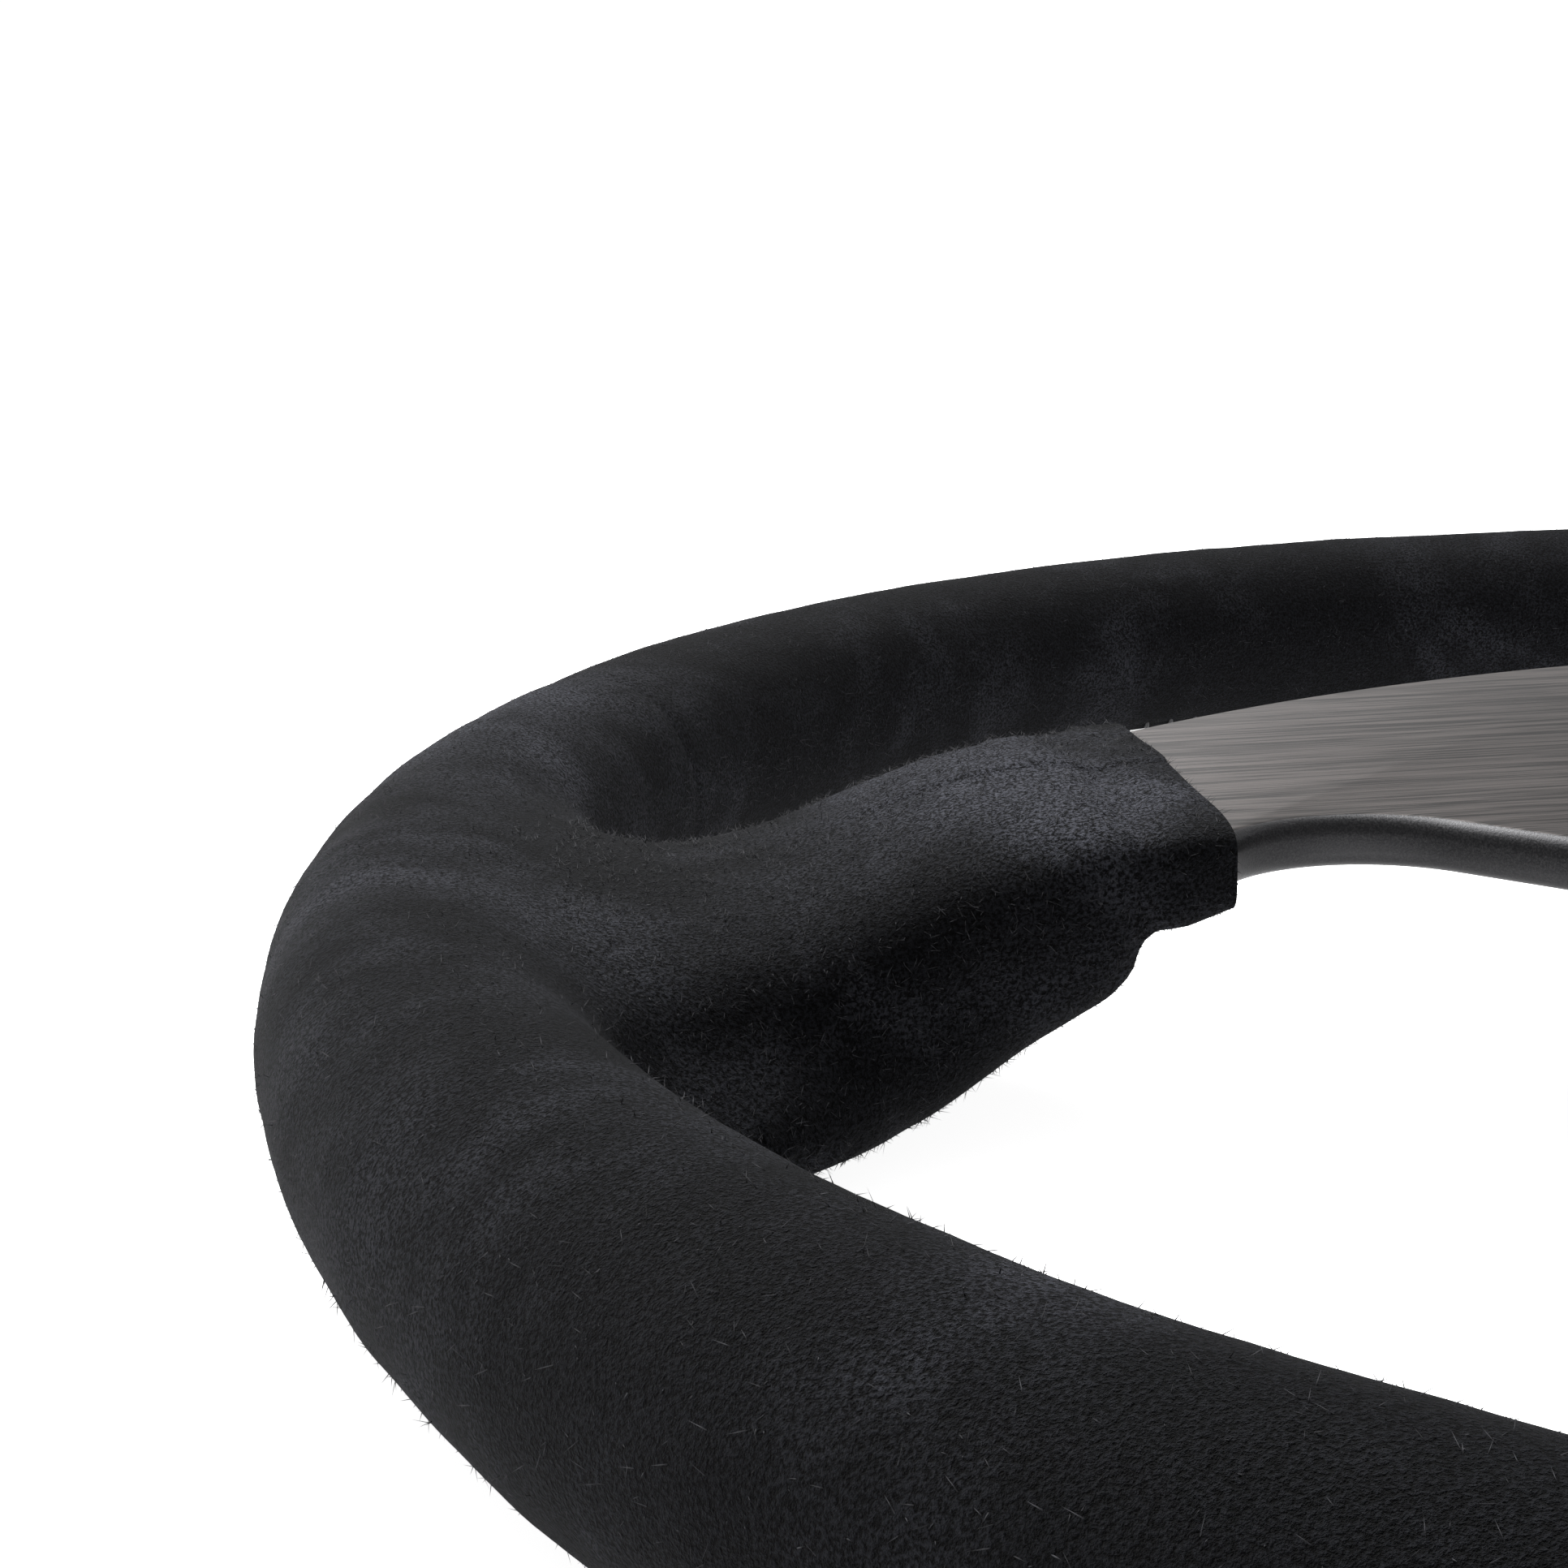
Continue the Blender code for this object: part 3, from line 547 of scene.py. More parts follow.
def rim_field(points):
    """Distance from the grip, which is fuller for the thumbs at ten and two o'clock."""
    x, y, z = points.T
    out = np.hypot(x, y)
    across = out - RING_RADIUS
    upwards = z - MID_Z
    round_section = np.degrees(np.arctan2(upwards, -across))
    round_rim = np.degrees(np.arctan2(y, np.abs(x)))
    thumb = window(round_rim, 38.0, 26.0) * window(round_section, -42.0, 62.0)
    return np.hypot(across, upwards) - GRIP_RADIUS - 1.9 * thumb


def arm_coordinates(points, angle):
    turn = math.radians(angle)
    reach = points[:, 0] * math.cos(turn) + points[:, 1] * math.sin(turn)
    across = -points[:, 0] * math.sin(turn) + points[:, 1] * math.cos(turn)
    return reach, across, points[:, 2]


def arm_field(points, angle):
    reach, across, z = arm_coordinates(points, angle)
    half_width, top, bottom, power = (np.interp(reach, *table) for table in ARM_TABLES)
    middle = MID_Z + (top + bottom) / 2
    low = np.clip((MID_Z + 3.0 - z) / 14.0, 0.0, 1.0)
    foot = np.interp(reach, FOOT_REACHES, FOOT_SHARES) * low * low * (3 - 2 * low)
    half_width = half_width * (1 + foot)
    body = superellipse(across, z - middle, half_width, (top - bottom) / 2, power)
    ends = np.maximum(ARM_REACH - reach, reach - 156.0)
    return smooth_max(body, ends, 4.0)


def flap_field(points, angle):
    """The thin end of the suede on the spoke; it is trimmed square later."""
    reach, across, z = arm_coordinates(points, angle)
    shrink = 1.5 * np.clip((reach - 90.5) / 5.0, 0.0, 1.0)
    above = PLATE_TOP + GAP + SUEDE - shrink
    sag = 0.8 + 0.38 * np.clip(reach - HEM_REACH, -2.0, 10.0)
    below = PLATE_BOTTOM - GAP - SUEDE - sag + shrink
    half = SPOKE_HALF_WIDTH + GAP + SUEDE - shrink
    body = superellipse(across, z - (above + below) / 2, half, (above - below) / 2, 6.0)
    return np.maximum(body, np.maximum(HEM_REACH - 4.0 - reach, reach - ARM_REACH - 6.0))


def cover_field(points):
    field = rim_field(points)
    for angle in SPOKE_ANGLES:
        reach, across, z = arm_coordinates(points, angle)
        near = reach > 60
        local = points[near]
        arm = smooth_min(arm_field(local, angle), flap_field(local, angle), 2.4)
        width = np.interp(reach[near], (138.0, 162.0), (15.0, 4.0))
        field[near] = smooth_min(field[near], arm, width)
    return field


def field_slope(points, step=0.05):
    slope = np.empty_like(points)
    for axis in range(3):
        shift = np.zeros(3)
        shift[axis] = step
        slope[:, axis] = cover_field(points + shift) - cover_field(points - shift)
    return slope / (2 * step)


def settle(points, rounds=4):
    """Move points onto the cover's surface."""
    for _ in range(rounds):
        value = cover_field(points)
        slope = field_slope(points)
        move = value / np.maximum((slope ** 2).sum(1), 0.05)
        move = np.clip(move, -1.5, 1.5)
        points = points - slope * move[:, None]
    return points


def rough_cover():
    """Rim, arms and flaps as plain overlapping solids, for the remesh."""
    rim = turned("suede", [
        (
            RING_RADIUS + GRIP_RADIUS * math.cos(math.tau * k / 32),
            MID_Z + GRIP_RADIUS * math.sin(math.tau * k / 32),
        )
        for k in range(32)
    ], None, 180)
    for angle in SPOKE_ANGLES:
        sections = []
        for reach in np.arange(ARM_REACH, 160, 3.0):
            half_width, top, bottom, power = (np.interp(reach, *t) for t in ARM_TABLES)
            middle = MID_Z + (top + bottom) / 2
            flare = 16.0 * max(0.0, (reach - 118) / 40) ** 1.5
            section = []
            for k in range(28):
                turn = math.tau * (k + 0.5) / 28
                c, s = math.cos(turn), math.sin(turn)
                section.append((
                    reach,
                    (half_width + flare) * math.copysign(abs(c) ** (2 / power), c),
                    middle + (top - bottom) / 2 * math.copysign(abs(s) ** (2 / power), s),
                ))
            sections.append(section)
        arm = turn_about_z(lofted("arm", sections, None), angle)
        above = PLATE_TOP + GAP + SUEDE
        below = PLATE_BOTTOM - GAP - SUEDE - 0.9
        half = SPOKE_HALF_WIDTH + GAP + SUEDE
        corners = [(-half, below), (half, below), (half, above), (-half, above)]
        flap = lofted("flap", [
            [(reach, y, z) for y, z in corners] for reach in (HEM_REACH - 3.0, ARM_REACH + 3.0)
        ], None)
        turn_about_z(flap, angle)
        boolean(rim, "UNION", arm, flap)
    return rim


def hem_cutter(angle):
    """The spoke's room inside the flap, opened out before the hem's cut edge."""
    width = SPOKE_HALF_WIDTH + GAP
    inside = [
        (width, PLATE_BOTTOM - GAP), (width, PLATE_TOP + GAP),
        (-width, PLATE_TOP + GAP), (-width, PLATE_BOTTOM - GAP),
    ]
    room = lofted("room", [
        [(reach, y, z) for y, z in inside] for reach in (HEM_REACH - 20, ARM_REACH - 3.0)
    ], None)
    wide = [(40.0, 5.0), (40.0, 45.0), (-40.0, 45.0), (-40.0, 5.0)]
    front = lofted("front", [
        [(reach, y, z) for y, z in wide] for reach in (HEM_REACH - 18, HEM_REACH)
    ], None)
    boolean(room, "UNION", front)
    return turn_about_z(room, angle)


def lumpiness(points, size, seed):
    """Smooth noise in -1..1 from a few sine waves in seeded directions."""
    rng = np.random.default_rng(seed)
    total = np.zeros(len(points))
    waves = 14
    for _ in range(waves):
        direction = rng.normal(size=3)
        direction /= np.linalg.norm(direction)
        length = size * rng.uniform(0.7, 1.6)
        total += np.sin(points @ direction * math.tau / length + rng.uniform(0, math.tau))
    return total / math.sqrt(waves)


def refine_along_laps(mesh):
    """A finer mesh along each arm's back, where the suede's lap makes a small step."""
    body = bmesh.new()
    body.from_mesh(mesh)
    edges = []
    for angle in SPOKE_ANGLES:
        turn = Matrix.Rotation(math.radians(-angle), 3, "Z")
        for edge in body.edges:
            middle = turn @ ((edge.verts[0].co + edge.verts[1].co) / 2) / MM
            if 84 < middle.x < 136 and abs(middle.y + 1.0) < 3.2 and middle.z > MID_Z + 8:
                edges.append(edge)
    bmesh.ops.subdivide_edges(body, edges=edges, cuts=2, use_grid_fill=True)
    body.to_mesh(mesh)
    body.free()


def make_cover(material):
    cover = rough_cover()
    change = cover.modifiers.new("remesh", "REMESH")
    change.mode = "VOXEL"
    change.voxel_size = 1.3 * MM
    change.adaptivity = 0.0
    bpy.context.view_layer.update()
    graph = bpy.context.evaluated_depsgraph_get()
    mesh = bpy.data.meshes.new_from_object(cover.evaluated_get(graph))
    cover.modifiers.clear()
    cover.data = mesh
    refine_along_laps(mesh)
    points = np.empty(len(mesh.vertices) * 3)
    mesh.vertices.foreach_get("co", points)
    points = points.reshape(-1, 3) / MM
    ends = np.empty(len(mesh.edges) * 2, dtype=np.int64)
    mesh.edges.foreach_get("vertices", ends)
    ends = ends.reshape(-1, 2)
    counts = np.bincount(ends.ravel(), minlength=len(points))[:, None]
    for _ in range(3):
        points = settle(points, 2)
        for _ in range(3):
            total = np.zeros_like(points)
            np.add.at(total, ends[:, 0], points[ends[:, 1]])
            np.add.at(total, ends[:, 1], points[ends[:, 0]])
            points = 0.5 * points + 0.5 * total / counts
    points = settle(points, 4)
    slope = field_slope(points)
    normal = slope / np.linalg.norm(slope, axis=1)[:, None]
    relief = 0.08 * lumpiness(points, 22.0, 3) + 0.04 * lumpiness(points, 7.0, 5)
    relief += seam_relief(points)
    points = points + normal * relief[:, None]
    points[:, 2] = np.maximum(points[:, 2], 0.0)
    mesh.vertices.foreach_set("co", (points * MM).ravel())
    mesh.update()
    boolean(cover, "DIFFERENCE", *[hem_cutter(angle) for angle in SPOKE_ANGLES], sharp=50)
    cover.data.materials.clear()
    cover.data.materials.append(material)
    return place(cover, "wheel", "suede", "suede_cover")


def seam_relief(points):
    """Butt seams across the rim beside each arm, and the lap along each arm's back."""
    x, y, z = points.T
    round_rim = np.degrees(np.arctan2(y, x))
    relief = np.zeros(len(points))
    out = np.hypot(x, y)
    on_rim = np.hypot(out - RING_RADIUS, z - MID_Z) < GRIP_RADIUS + 2.5
    for seam in SEAM_ANGLES:
        off = (round_rim - seam + 180) % 360 - 180
        away = np.abs(np.radians(off)) * RING_RADIUS
        relief -= np.where(on_rim, 0.28 * np.exp(-(away / 0.9) ** 2), 0.0)
    tilt = np.arctan2(z - MID_Z, RING_RADIUS - out) + STITCH_TILT
    groove = 0.40 * np.exp(-(tilt * GRIP_RADIUS / 1.0) ** 2)
    relief -= np.where(on_rim, groove, 0.0)
    for angle in SPOKE_ANGLES:
        reach, across, height = arm_coordinates(points, angle)
        on_arm = (reach > 80) & (reach < 140) & (np.abs(across) < 32)
        top = on_arm & (height > MID_Z + 8)
        along = window(reach, 98.0, 36.0)
        lap = 1 / (1 + np.exp(np.clip((across + 1.0) / 0.16, -40, 40)))
        ridge = 0.42 * lap * window(across, -1.0, 13.0)
        relief += np.where(top, ridge * along, 0.0)
        side = on_arm & (np.abs(across) > 19) & (height > MID_Z)
        wrinkle = np.sin(reach * math.tau / 2.7 + 0.06 * across * height)
        relief += np.where(side, 0.16 * wrinkle * window(reach, 95.5, 4.5), 0.0)
    return relief


def make_stitches(material):
    """Baseball-style stitches along the driver's side of the rim, clear of the arms."""
    middle_radius = RING_RADIUS - (GRIP_RADIUS - 0.1) * math.cos(STITCH_TILT)
    middle_z = MID_Z - (GRIP_RADIUS - 0.1) * math.sin(STITCH_TILT)
    count = int(math.tau * middle_radius / STITCH_PITCH)
    sides = 8
    rings = 9
    points = []
    faces = []
    for k in range(count):
        around = math.tau * k / count
        if any(abs(angle_off(math.degrees(around), arm)) < 21 for arm in SPOKE_ANGLES):
            continue
        outward = Vector((math.cos(around), math.sin(around), 0))
        along = Vector((-math.sin(around), math.cos(around), 0))
        normal = -outward * math.cos(STITCH_TILT) - Vector((0, 0, math.sin(STITCH_TILT)))
        across = along.cross(normal)
        centre = outward * middle_radius + Vector((0, 0, middle_z))
        run = (across * 1.0 + along * 0.45).normalized()
        other = run.cross(normal)
        base = len(points)
        for n in range(rings):
            share = n / (rings - 1)
            bow = math.sin(math.pi * share)
            spine = centre + run * 4.2 * (share - 0.5) + normal * (0.45 * bow - 0.30)
            radius = 0.36 * (0.35 + 0.65 * bow ** 0.5)
            for m in range(sides):
                turn = math.tau * m / sides
                points.append(spine + radius * (math.cos(turn) * other + math.sin(turn) * normal))
        for n in range(rings - 1):
            for m in range(sides):
                here = base + n * sides
                after = (m + 1) % sides
                faces.append((here + m, here + after, here + sides + after, here + sides + m))
        faces.append(tuple(base + m for m in range(sides)))
        faces.append(tuple(base + (rings - 1) * sides + m for m in reversed(range(sides))))
    stitches = add_piece("rim_stitches", points, faces, material, 60)
    place(stitches, "wheel", "suede")


def angle_off(angle, other):
    return (angle - other + 180) % 360 - 180


def make_fibres(cover, material):
    """Loose fibres that stand out of the suede, each a slim closed spike."""
    mesh = cover.data
    mesh.calc_loop_triangles()
    corners = np.empty(len(mesh.loop_triangles) * 3, dtype=np.int64)
    mesh.loop_triangles.foreach_get("vertices", corners)
    places = np.empty(len(mesh.vertices) * 3)
    mesh.vertices.foreach_get("co", places)
    triangles = places.reshape(-1, 3)[corners.reshape(-1, 3)] / MM
    first, second, third = triangles[:, 0], triangles[:, 1], triangles[:, 2]
    normals = np.cross(second - first, third - first)
    areas = np.linalg.norm(normals, axis=1)
    middle_out = np.abs(cover_field(triangles.mean(1))) < 0.9
    middles = triangles.mean(1)
    on_arm = np.hypot(middles[:, 0], middles[:, 1]) < RING_RADIUS - GRIP_RADIUS
    weights = np.where(middle_out, areas, 0.0) * np.where(on_arm, 5.0, 1.0)
    rng = np.random.default_rng(11)
    count = FIBRES
    chosen = rng.choice(len(areas), count, p=weights / weights.sum())
    u, v = rng.random((2, count, 1))
    fold = u + v > 1
    u, v = np.where(fold, 1 - u, u), np.where(fold, 1 - v, v)
    roots = first[chosen] + u * (second - first)[chosen] + v * (third - first)[chosen]
    normals = normals[chosen] / areas[chosen, None]
    across = np.cross(normals, rng.normal(size=(count, 3)))
    across /= np.linalg.norm(across, axis=1)[:, None]
    other = np.cross(normals, across)
    length = rng.uniform(0.4, 1.5, (count, 1))
    lean = rng.uniform(0.9, 2.6, (count, 1))
    along = (normals + lean * across) / np.sqrt(1 + lean ** 2)
    tips = roots + along * length
    tips[:, 2] = np.maximum(tips[:, 2], 0.02)
    keep = roots[:, 2] > 0.25
    roots, tips, normals, across, other = (a[keep] for a in (roots, tips, normals, across, other))
    half = 0.045
    sunk = roots - 0.08 * normals
    spikes = np.stack((
        sunk - half * other, sunk + half * other, sunk + 1.6 * half * normals, tips,
    ), axis=1).reshape(-1, 3)
    base = np.arange(len(roots))[:, None, None] * 4
    sides = np.array(((0, 1, 2), (0, 3, 1), (1, 3, 2), (2, 3, 0)))
    faces = (base + sides).reshape(-1, 3)
    fibres = bpy.data.meshes.new("suede_fibres")
    fibres.vertices.add(len(spikes))
    fibres.vertices.foreach_set("co", (spikes * MM).ravel())
    fibres.loops.add(faces.size)
    fibres.loops.foreach_set("vertex_index", faces.ravel())
    fibres.polygons.add(len(faces))
    fibres.polygons.foreach_set("loop_start", np.arange(len(faces)) * 3)
    fibres.update(calc_edges=True)
    fibres.validate()
    fibres.materials.append(material)
    piece = bpy.data.objects.new("suede_fibres", fibres)
    bpy.context.scene.collection.objects.link(piece)
    place(piece, "wheel", "suede")


# --- Spoke plate -----------------------------------------------------------------

NECK_REACH = 75.4
NECK_HALF_WIDTH = 17.5
NECK_RADIUS = 14.2
SPOKE_HALF_WIDTH = 22.25
TAPER_START = 88.5
TONGUE_START = 98.0
TONGUE_HALF_WIDTH = 15.0
SPOKE_END = RING_RADIUS - 5.3
BEND_REACH = 95.0
BEND_SLOPE = 0.34
BROW_RADIUS = 161.5
BROW_TOP = 47.0
PLATE_BORE = 25.5
EDGE_ROUND = 2.3


def neck_arc(steps=28):
    centre_x = -NECK_REACH
    centre_y = -NECK_HALF_WIDTH - NECK_RADIUS
    start = math.acos((centre_x + HEM_REACH) / -NECK_RADIUS)
    end = math.radians(45)
    arc = []
    for k in range(steps + 1):
        angle = start + (end - start) * k / steps
        x = centre_x + NECK_RADIUS * math.cos(angle)
        arc.append((x, centre_y + NECK_RADIUS * math.sin(angle)))
    return arc


def tongue(steps=6):
    half_angle = math.asin(TONGUE_HALF_WIDTH / SPOKE_END)
    end = []
    for k in range(steps + 1):
        angle = half_angle * (1 - 2 * k / steps)
        end.append((-SPOKE_END * math.cos(angle), -SPOKE_END * math.sin(angle)))
    lower = [(-TAPER_START, -SPOKE_HALF_WIDTH), (-TONGUE_START, -TONGUE_HALF_WIDTH)]
    return lower + end + [(x, -y) for x, y in reversed(lower)]


def brow(steps=64):
    centre_y = BROW_TOP - BROW_RADIUS
    reach = math.asin(HEM_REACH / BROW_RADIUS)
    arc = []
    for k in range(steps + 1):
        angle = reach * (2 * k / steps - 1)
        arc.append((BROW_RADIUS * math.sin(angle), centre_y + BROW_RADIUS * math.cos(angle)))
    return arc


def plate_outline():
    neck = neck_arc()
    left = tongue()
    foot = [(y, x) for x, y in neck]
    return (
        list(reversed(neck)) + left + brow() + [(-x, y) for x, y in reversed(left)]
        + [(-x, y) for x, y in neck] + [(-x, y) for x, y in reversed(foot)]
        + [(y, x) for x, y in reversed(left)] + foot
    )


def bend_spokes(body):
    """Slope each spoke down from its bend until it is level with the steel ring."""
    drop_length = PLATE_RISE / BEND_SLOPE
    for direction in (Vector((-1, 0, 0)), Vector((1, 0, 0)), Vector((0, -1, 0))):
        for reach in (BEND_REACH, BEND_REACH + drop_length):
            bmesh.ops.bisect_plane(
                body, geom=body.verts[:] + body.edges[:] + body.faces[:],
                plane_co=direction * reach * MM, plane_no=direction, dist=1e-7,
            )
    for point in body.verts:
        reach = max(abs(point.co.x), -point.co.y) / MM
        point.co.z -= min(max(reach - BEND_REACH, 0.0), drop_length) * BEND_SLOPE * MM


def round_edges(body):
    """Round the outline on both faces, leaving the flat faces for their own finish."""
    edges = []
    for edge in body.edges:
        if len(edge.link_faces) == 2:
            steep = [abs(face.normal.z) < 0.3 for face in edge.link_faces]
            if steep[0] != steep[1]:
                edges.append(edge)
    bmesh.ops.bevel(
        body, geom=edges, offset=EDGE_ROUND * MM, offset_type="OFFSET",
        segments=6, profile=0.5, affect="EDGES", clamp_overlap=True,
    )


def screw_places():
    for k in range(6):
        angle = math.radians(30 + 60 * k)
        yield SCREW_CIRCLE * math.cos(angle), SCREW_CIRCLE * math.sin(angle)


def screw_holes(bottom, top):
    return [rod("hole", SCREW_CLEARANCE, bottom, top, spot) for spot in screw_places()]


def make_plate(face, edge):
    plate = extruded("plate", plate_outline(), PLATE_BOTTOM, PLATE_TOP, face)
    body = bmesh.new()
    body.from_mesh(plate.data)
    bend_spokes(body)
    body.normal_update()
    round_edges(body)
    body.to_mesh(plate.data)
    body.free()
    bore = rod("bore", PLATE_BORE, PLATE_BOTTOM - 1, PLATE_TOP + 1, steps=96)
    holes = screw_holes(PLATE_BOTTOM - 1, PLATE_TOP + 1)
    boolean(plate, "DIFFERENCE", bore, *holes, sharp=35)
    plate.data.materials.clear()
    plate.data.materials.append(face)
    plate.data.materials.append(edge)
    for polygon in plate.data.polygons:
        polygon.material_index = 0 if abs(polygon.normal.z) > 0.93 else 1
    return place(plate, "wheel", "anodised_plate", "spoke_plate")


# --- Quick release ---------------------------------------------------------------

FLANGE_BOTTOM = HUB_LOW.z
FLANGE_TOP = FLANGE_BOTTOM + 10.0
FLANGE_RADIUS = HUB_HIGH.x
BARREL_RADIUS = 24.0
BARREL_TOP = HUB_HIGH.z
SOCKET_RADIUS = 18.0
SPLINE_ROOT = 17.2
SPLINE_TIP = 15.6
SPLINE_COUNT = 20
SPLINE_TOP = 58.0
RECESS_RADIUS = 25.8
RECESS_TOP = FLANGE_BOTTOM + 5.2
BALL_RADIUS = 3.5
BALL_Z = 65.0
BALL_COUNT = 6
BALL_REST = BARREL_RADIUS + 0.1 - BALL_RADIUS
COLLAR_BOTTOM = COLLAR_LOW.z
COLLAR_TOP = COLLAR_HIGH.z
COLLAR_RADIUS = 33.4
COLLAR_LIP_RADIUS = 36.0
COLLAR_BORE = BARREL_RADIUS + 0.35
POCKET_RADIUS = 28.4
POCKET_TOP = 58.5
BAND_BOTTOM = COLLAR_BOTTOM + 4.6
BAND_TOP = BAND_BOTTOM + 7.0
BAND_SEAT_RADIUS = 31.6
SCALLOPS = 9
SCALLOP_DEPTH = 1.4
STOP_GROOVE_BOTTOM = COLLAR_TOP + 0.1
STOP_GROOVE_TOP = STOP_GROOVE_BOTTOM + 2.0


def spline_broach():
    outline = []
    pitch = math.tau / SPLINE_COUNT
    for k in range(SPLINE_COUNT):
        for radius, share in (
            (SPLINE_TIP - 0.5, 0.0), (SPLINE_TIP - 0.5, 0.40),
            (SPLINE_ROOT, 0.55), (SPLINE_ROOT, 0.85),
        ):
            angle = pitch * (k + share)
            outline.append((radius * math.cos(angle), radius * math.sin(angle)))
    return extruded("broach", outline, RECESS_TOP - 1.0, SPLINE_TOP + 0.5, None)


def ball_holes():
    holes = []
    for k in range(BALL_COUNT):
        sections = []
        for reach, radius in (
            (SOCKET_RADIUS - 2.0, BALL_RADIUS - 0.2),
            (SOCKET_RADIUS + 0.6, BALL_RADIUS + 0.05),
            (BALL_REST - 1.0, BALL_RADIUS + 0.35),
            (BARREL_RADIUS + 2.0, BALL_RADIUS + 0.35),
        ):
            sections.append([
                (
                    reach,
                    radius * math.cos(math.tau * n / 32),
                    BALL_Z + radius * math.sin(math.tau * n / 32),
                )
                for n in range(32)
            ])
        holes.append(turn_about_z(lofted("ball_hole", sections, None), 360 * k / BALL_COUNT))
    return holes


def make_hub(material):
    profile = [
        (RECESS_RADIUS, FLANGE_BOTTOM),
        (FLANGE_RADIUS - 1.0, FLANGE_BOTTOM),
        (FLANGE_RADIUS, FLANGE_BOTTOM + 1.0),
        (FLANGE_RADIUS, FLANGE_TOP - 3.4),
        (FLANGE_RADIUS - 1.4, FLANGE_TOP - 2.0),
        (30.0, FLANGE_TOP - 2.0),
        (28.0, FLANGE_TOP),
        (BARREL_RADIUS, FLANGE_TOP),
        (BARREL_RADIUS, STOP_GROOVE_BOTTOM),
        (BARREL_RADIUS - 1.4, STOP_GROOVE_BOTTOM),
        (BARREL_RADIUS - 1.4, STOP_GROOVE_TOP),
        (BARREL_RADIUS, STOP_GROOVE_TOP),
        (BARREL_RADIUS, BARREL_TOP - 1.2),
        (BARREL_RADIUS - 1.2, BARREL_TOP),
        (SOCKET_RADIUS + 1.2, BARREL_TOP),
        (SOCKET_RADIUS, BARREL_TOP - 1.2),
        (SOCKET_RADIUS, SPLINE_TOP),
        (SPLINE_TIP, SPLINE_TOP),
        (SPLINE_TIP, RECESS_TOP),
        (RECESS_RADIUS, RECESS_TOP),
    ]
    hub = turned("release_hub_body", soften(profile, 0.35, 2), material, 160)
    boolean(hub, "DIFFERENCE", spline_broach(), *ball_holes())
    boolean(hub, "DIFFERENCE", *screw_holes(FLANGE_BOTTOM - 1, FLANGE_TOP + 1))
    hub.data.materials.clear()
    hub.data.materials.append(material)
    place(hub, "wheel", "hub_metal", "release_hub")


def make_balls(material):
    for k in range(BALL_COUNT):
        mesh = bpy.data.meshes.new("locking_ball")
        body = bmesh.new()
        angle = math.tau * k / BALL_COUNT
        centre = Vector((BALL_REST * math.cos(angle), BALL_REST * math.sin(angle), BALL_Z))
        bmesh.ops.create_uvsphere(
            body, u_segments=40, v_segments=24, radius=BALL_RADIUS * MM,
            matrix=Matrix.Translation(centre * MM),
        )
        body.to_mesh(mesh)
        body.free()
        mesh.shade_smooth()
        mesh.materials.append(material)
        ball = bpy.data.objects.new("locking_ball", mesh)
        bpy.context.scene.collection.objects.link(ball)
        place(ball, f"ball_{k + 1}", "steel", f"lock_ball_{k + 1}")


def scalloped(angle, radius, height):
    """Finger hollows in the collar's wall above its rubber band, faded in and out."""
    low = BAND_TOP + 1.0
    high = COLLAR_TOP - 2.9
    if radius < COLLAR_RADIUS - 0.2 or not low < height < high:
        return radius
    share = min((height - low) / 2.6, (high - height) / 2.6, 1.0)
    fade = share * share * (3 - 2 * share)
    return radius - SCALLOP_DEPTH * fade * (1 + math.cos(SCALLOPS * angle)) / 2


def make_collar(material):
    cone_start = BALL_Z - 0.5
    cone_end = COLLAR_BORE + BALL_TRAVEL / COLLAR_TRAVEL * (COLLAR_TOP - cone_start)
    wall_low = BAND_TOP + 1.2
    wall_high = COLLAR_TOP - 2.5
    wall = [(COLLAR_RADIUS, wall_low + (wall_high - wall_low) * k / 24) for k in range(25)]
    profile = [
        (POCKET_RADIUS, COLLAR_BOTTOM),
        (COLLAR_LIP_RADIUS - 1.0, COLLAR_BOTTOM),
        (COLLAR_LIP_RADIUS, COLLAR_BOTTOM + 1.0),
        (COLLAR_LIP_RADIUS, COLLAR_BOTTOM + 3.0),
        (COLLAR_RADIUS, BAND_BOTTOM),
        (BAND_SEAT_RADIUS, BAND_BOTTOM),
        (BAND_SEAT_RADIUS, BAND_TOP),
        (COLLAR_RADIUS, BAND_TOP),
        *wall,
        (COLLAR_RADIUS - 2.4, COLLAR_TOP),
        (cone_end, COLLAR_TOP),
        (COLLAR_BORE, cone_start),
        (COLLAR_BORE, POCKET_TOP),
        (POCKET_RADIUS, POCKET_TOP),
    ]
    collar = turned("sliding_collar", soften(profile, 0.3, 2), material, 270, scalloped, sharp=50)
    place(collar, "collar", "collar_metal", "release_collar")


def make_grip_band(material):
    low = BAND_BOTTOM + GAP
    high = BAND_TOP - GAP
    inside = BAND_SEAT_RADIUS + GAP
    ribs = 2
    rise = (high - low) / ribs
    profile = [(inside, low), (COLLAR_RADIUS, low)]
    for k in range(ribs):
        base = low + rise * k
        profile.append((COLLAR_RADIUS + 0.8, base + 0.3 * rise))
        profile.append((COLLAR_RADIUS + 0.8, base + 0.7 * rise))
        profile.append((COLLAR_RADIUS, base + rise))
    profile.append((inside, high))

    def grooved(angle, radius, height):
        """Small cross notches in the ribs."""
        if radius < COLLAR_RADIUS + 0.3:
            return radius
        return radius - 0.35 * (abs(math.sin(24 * angle)) < 0.22)

    band = turned("rubber_grip_band", soften(profile, 0.3, 2), material, 480, grooved)
    place(band, "collar", "rubber", "collar_grip_band")


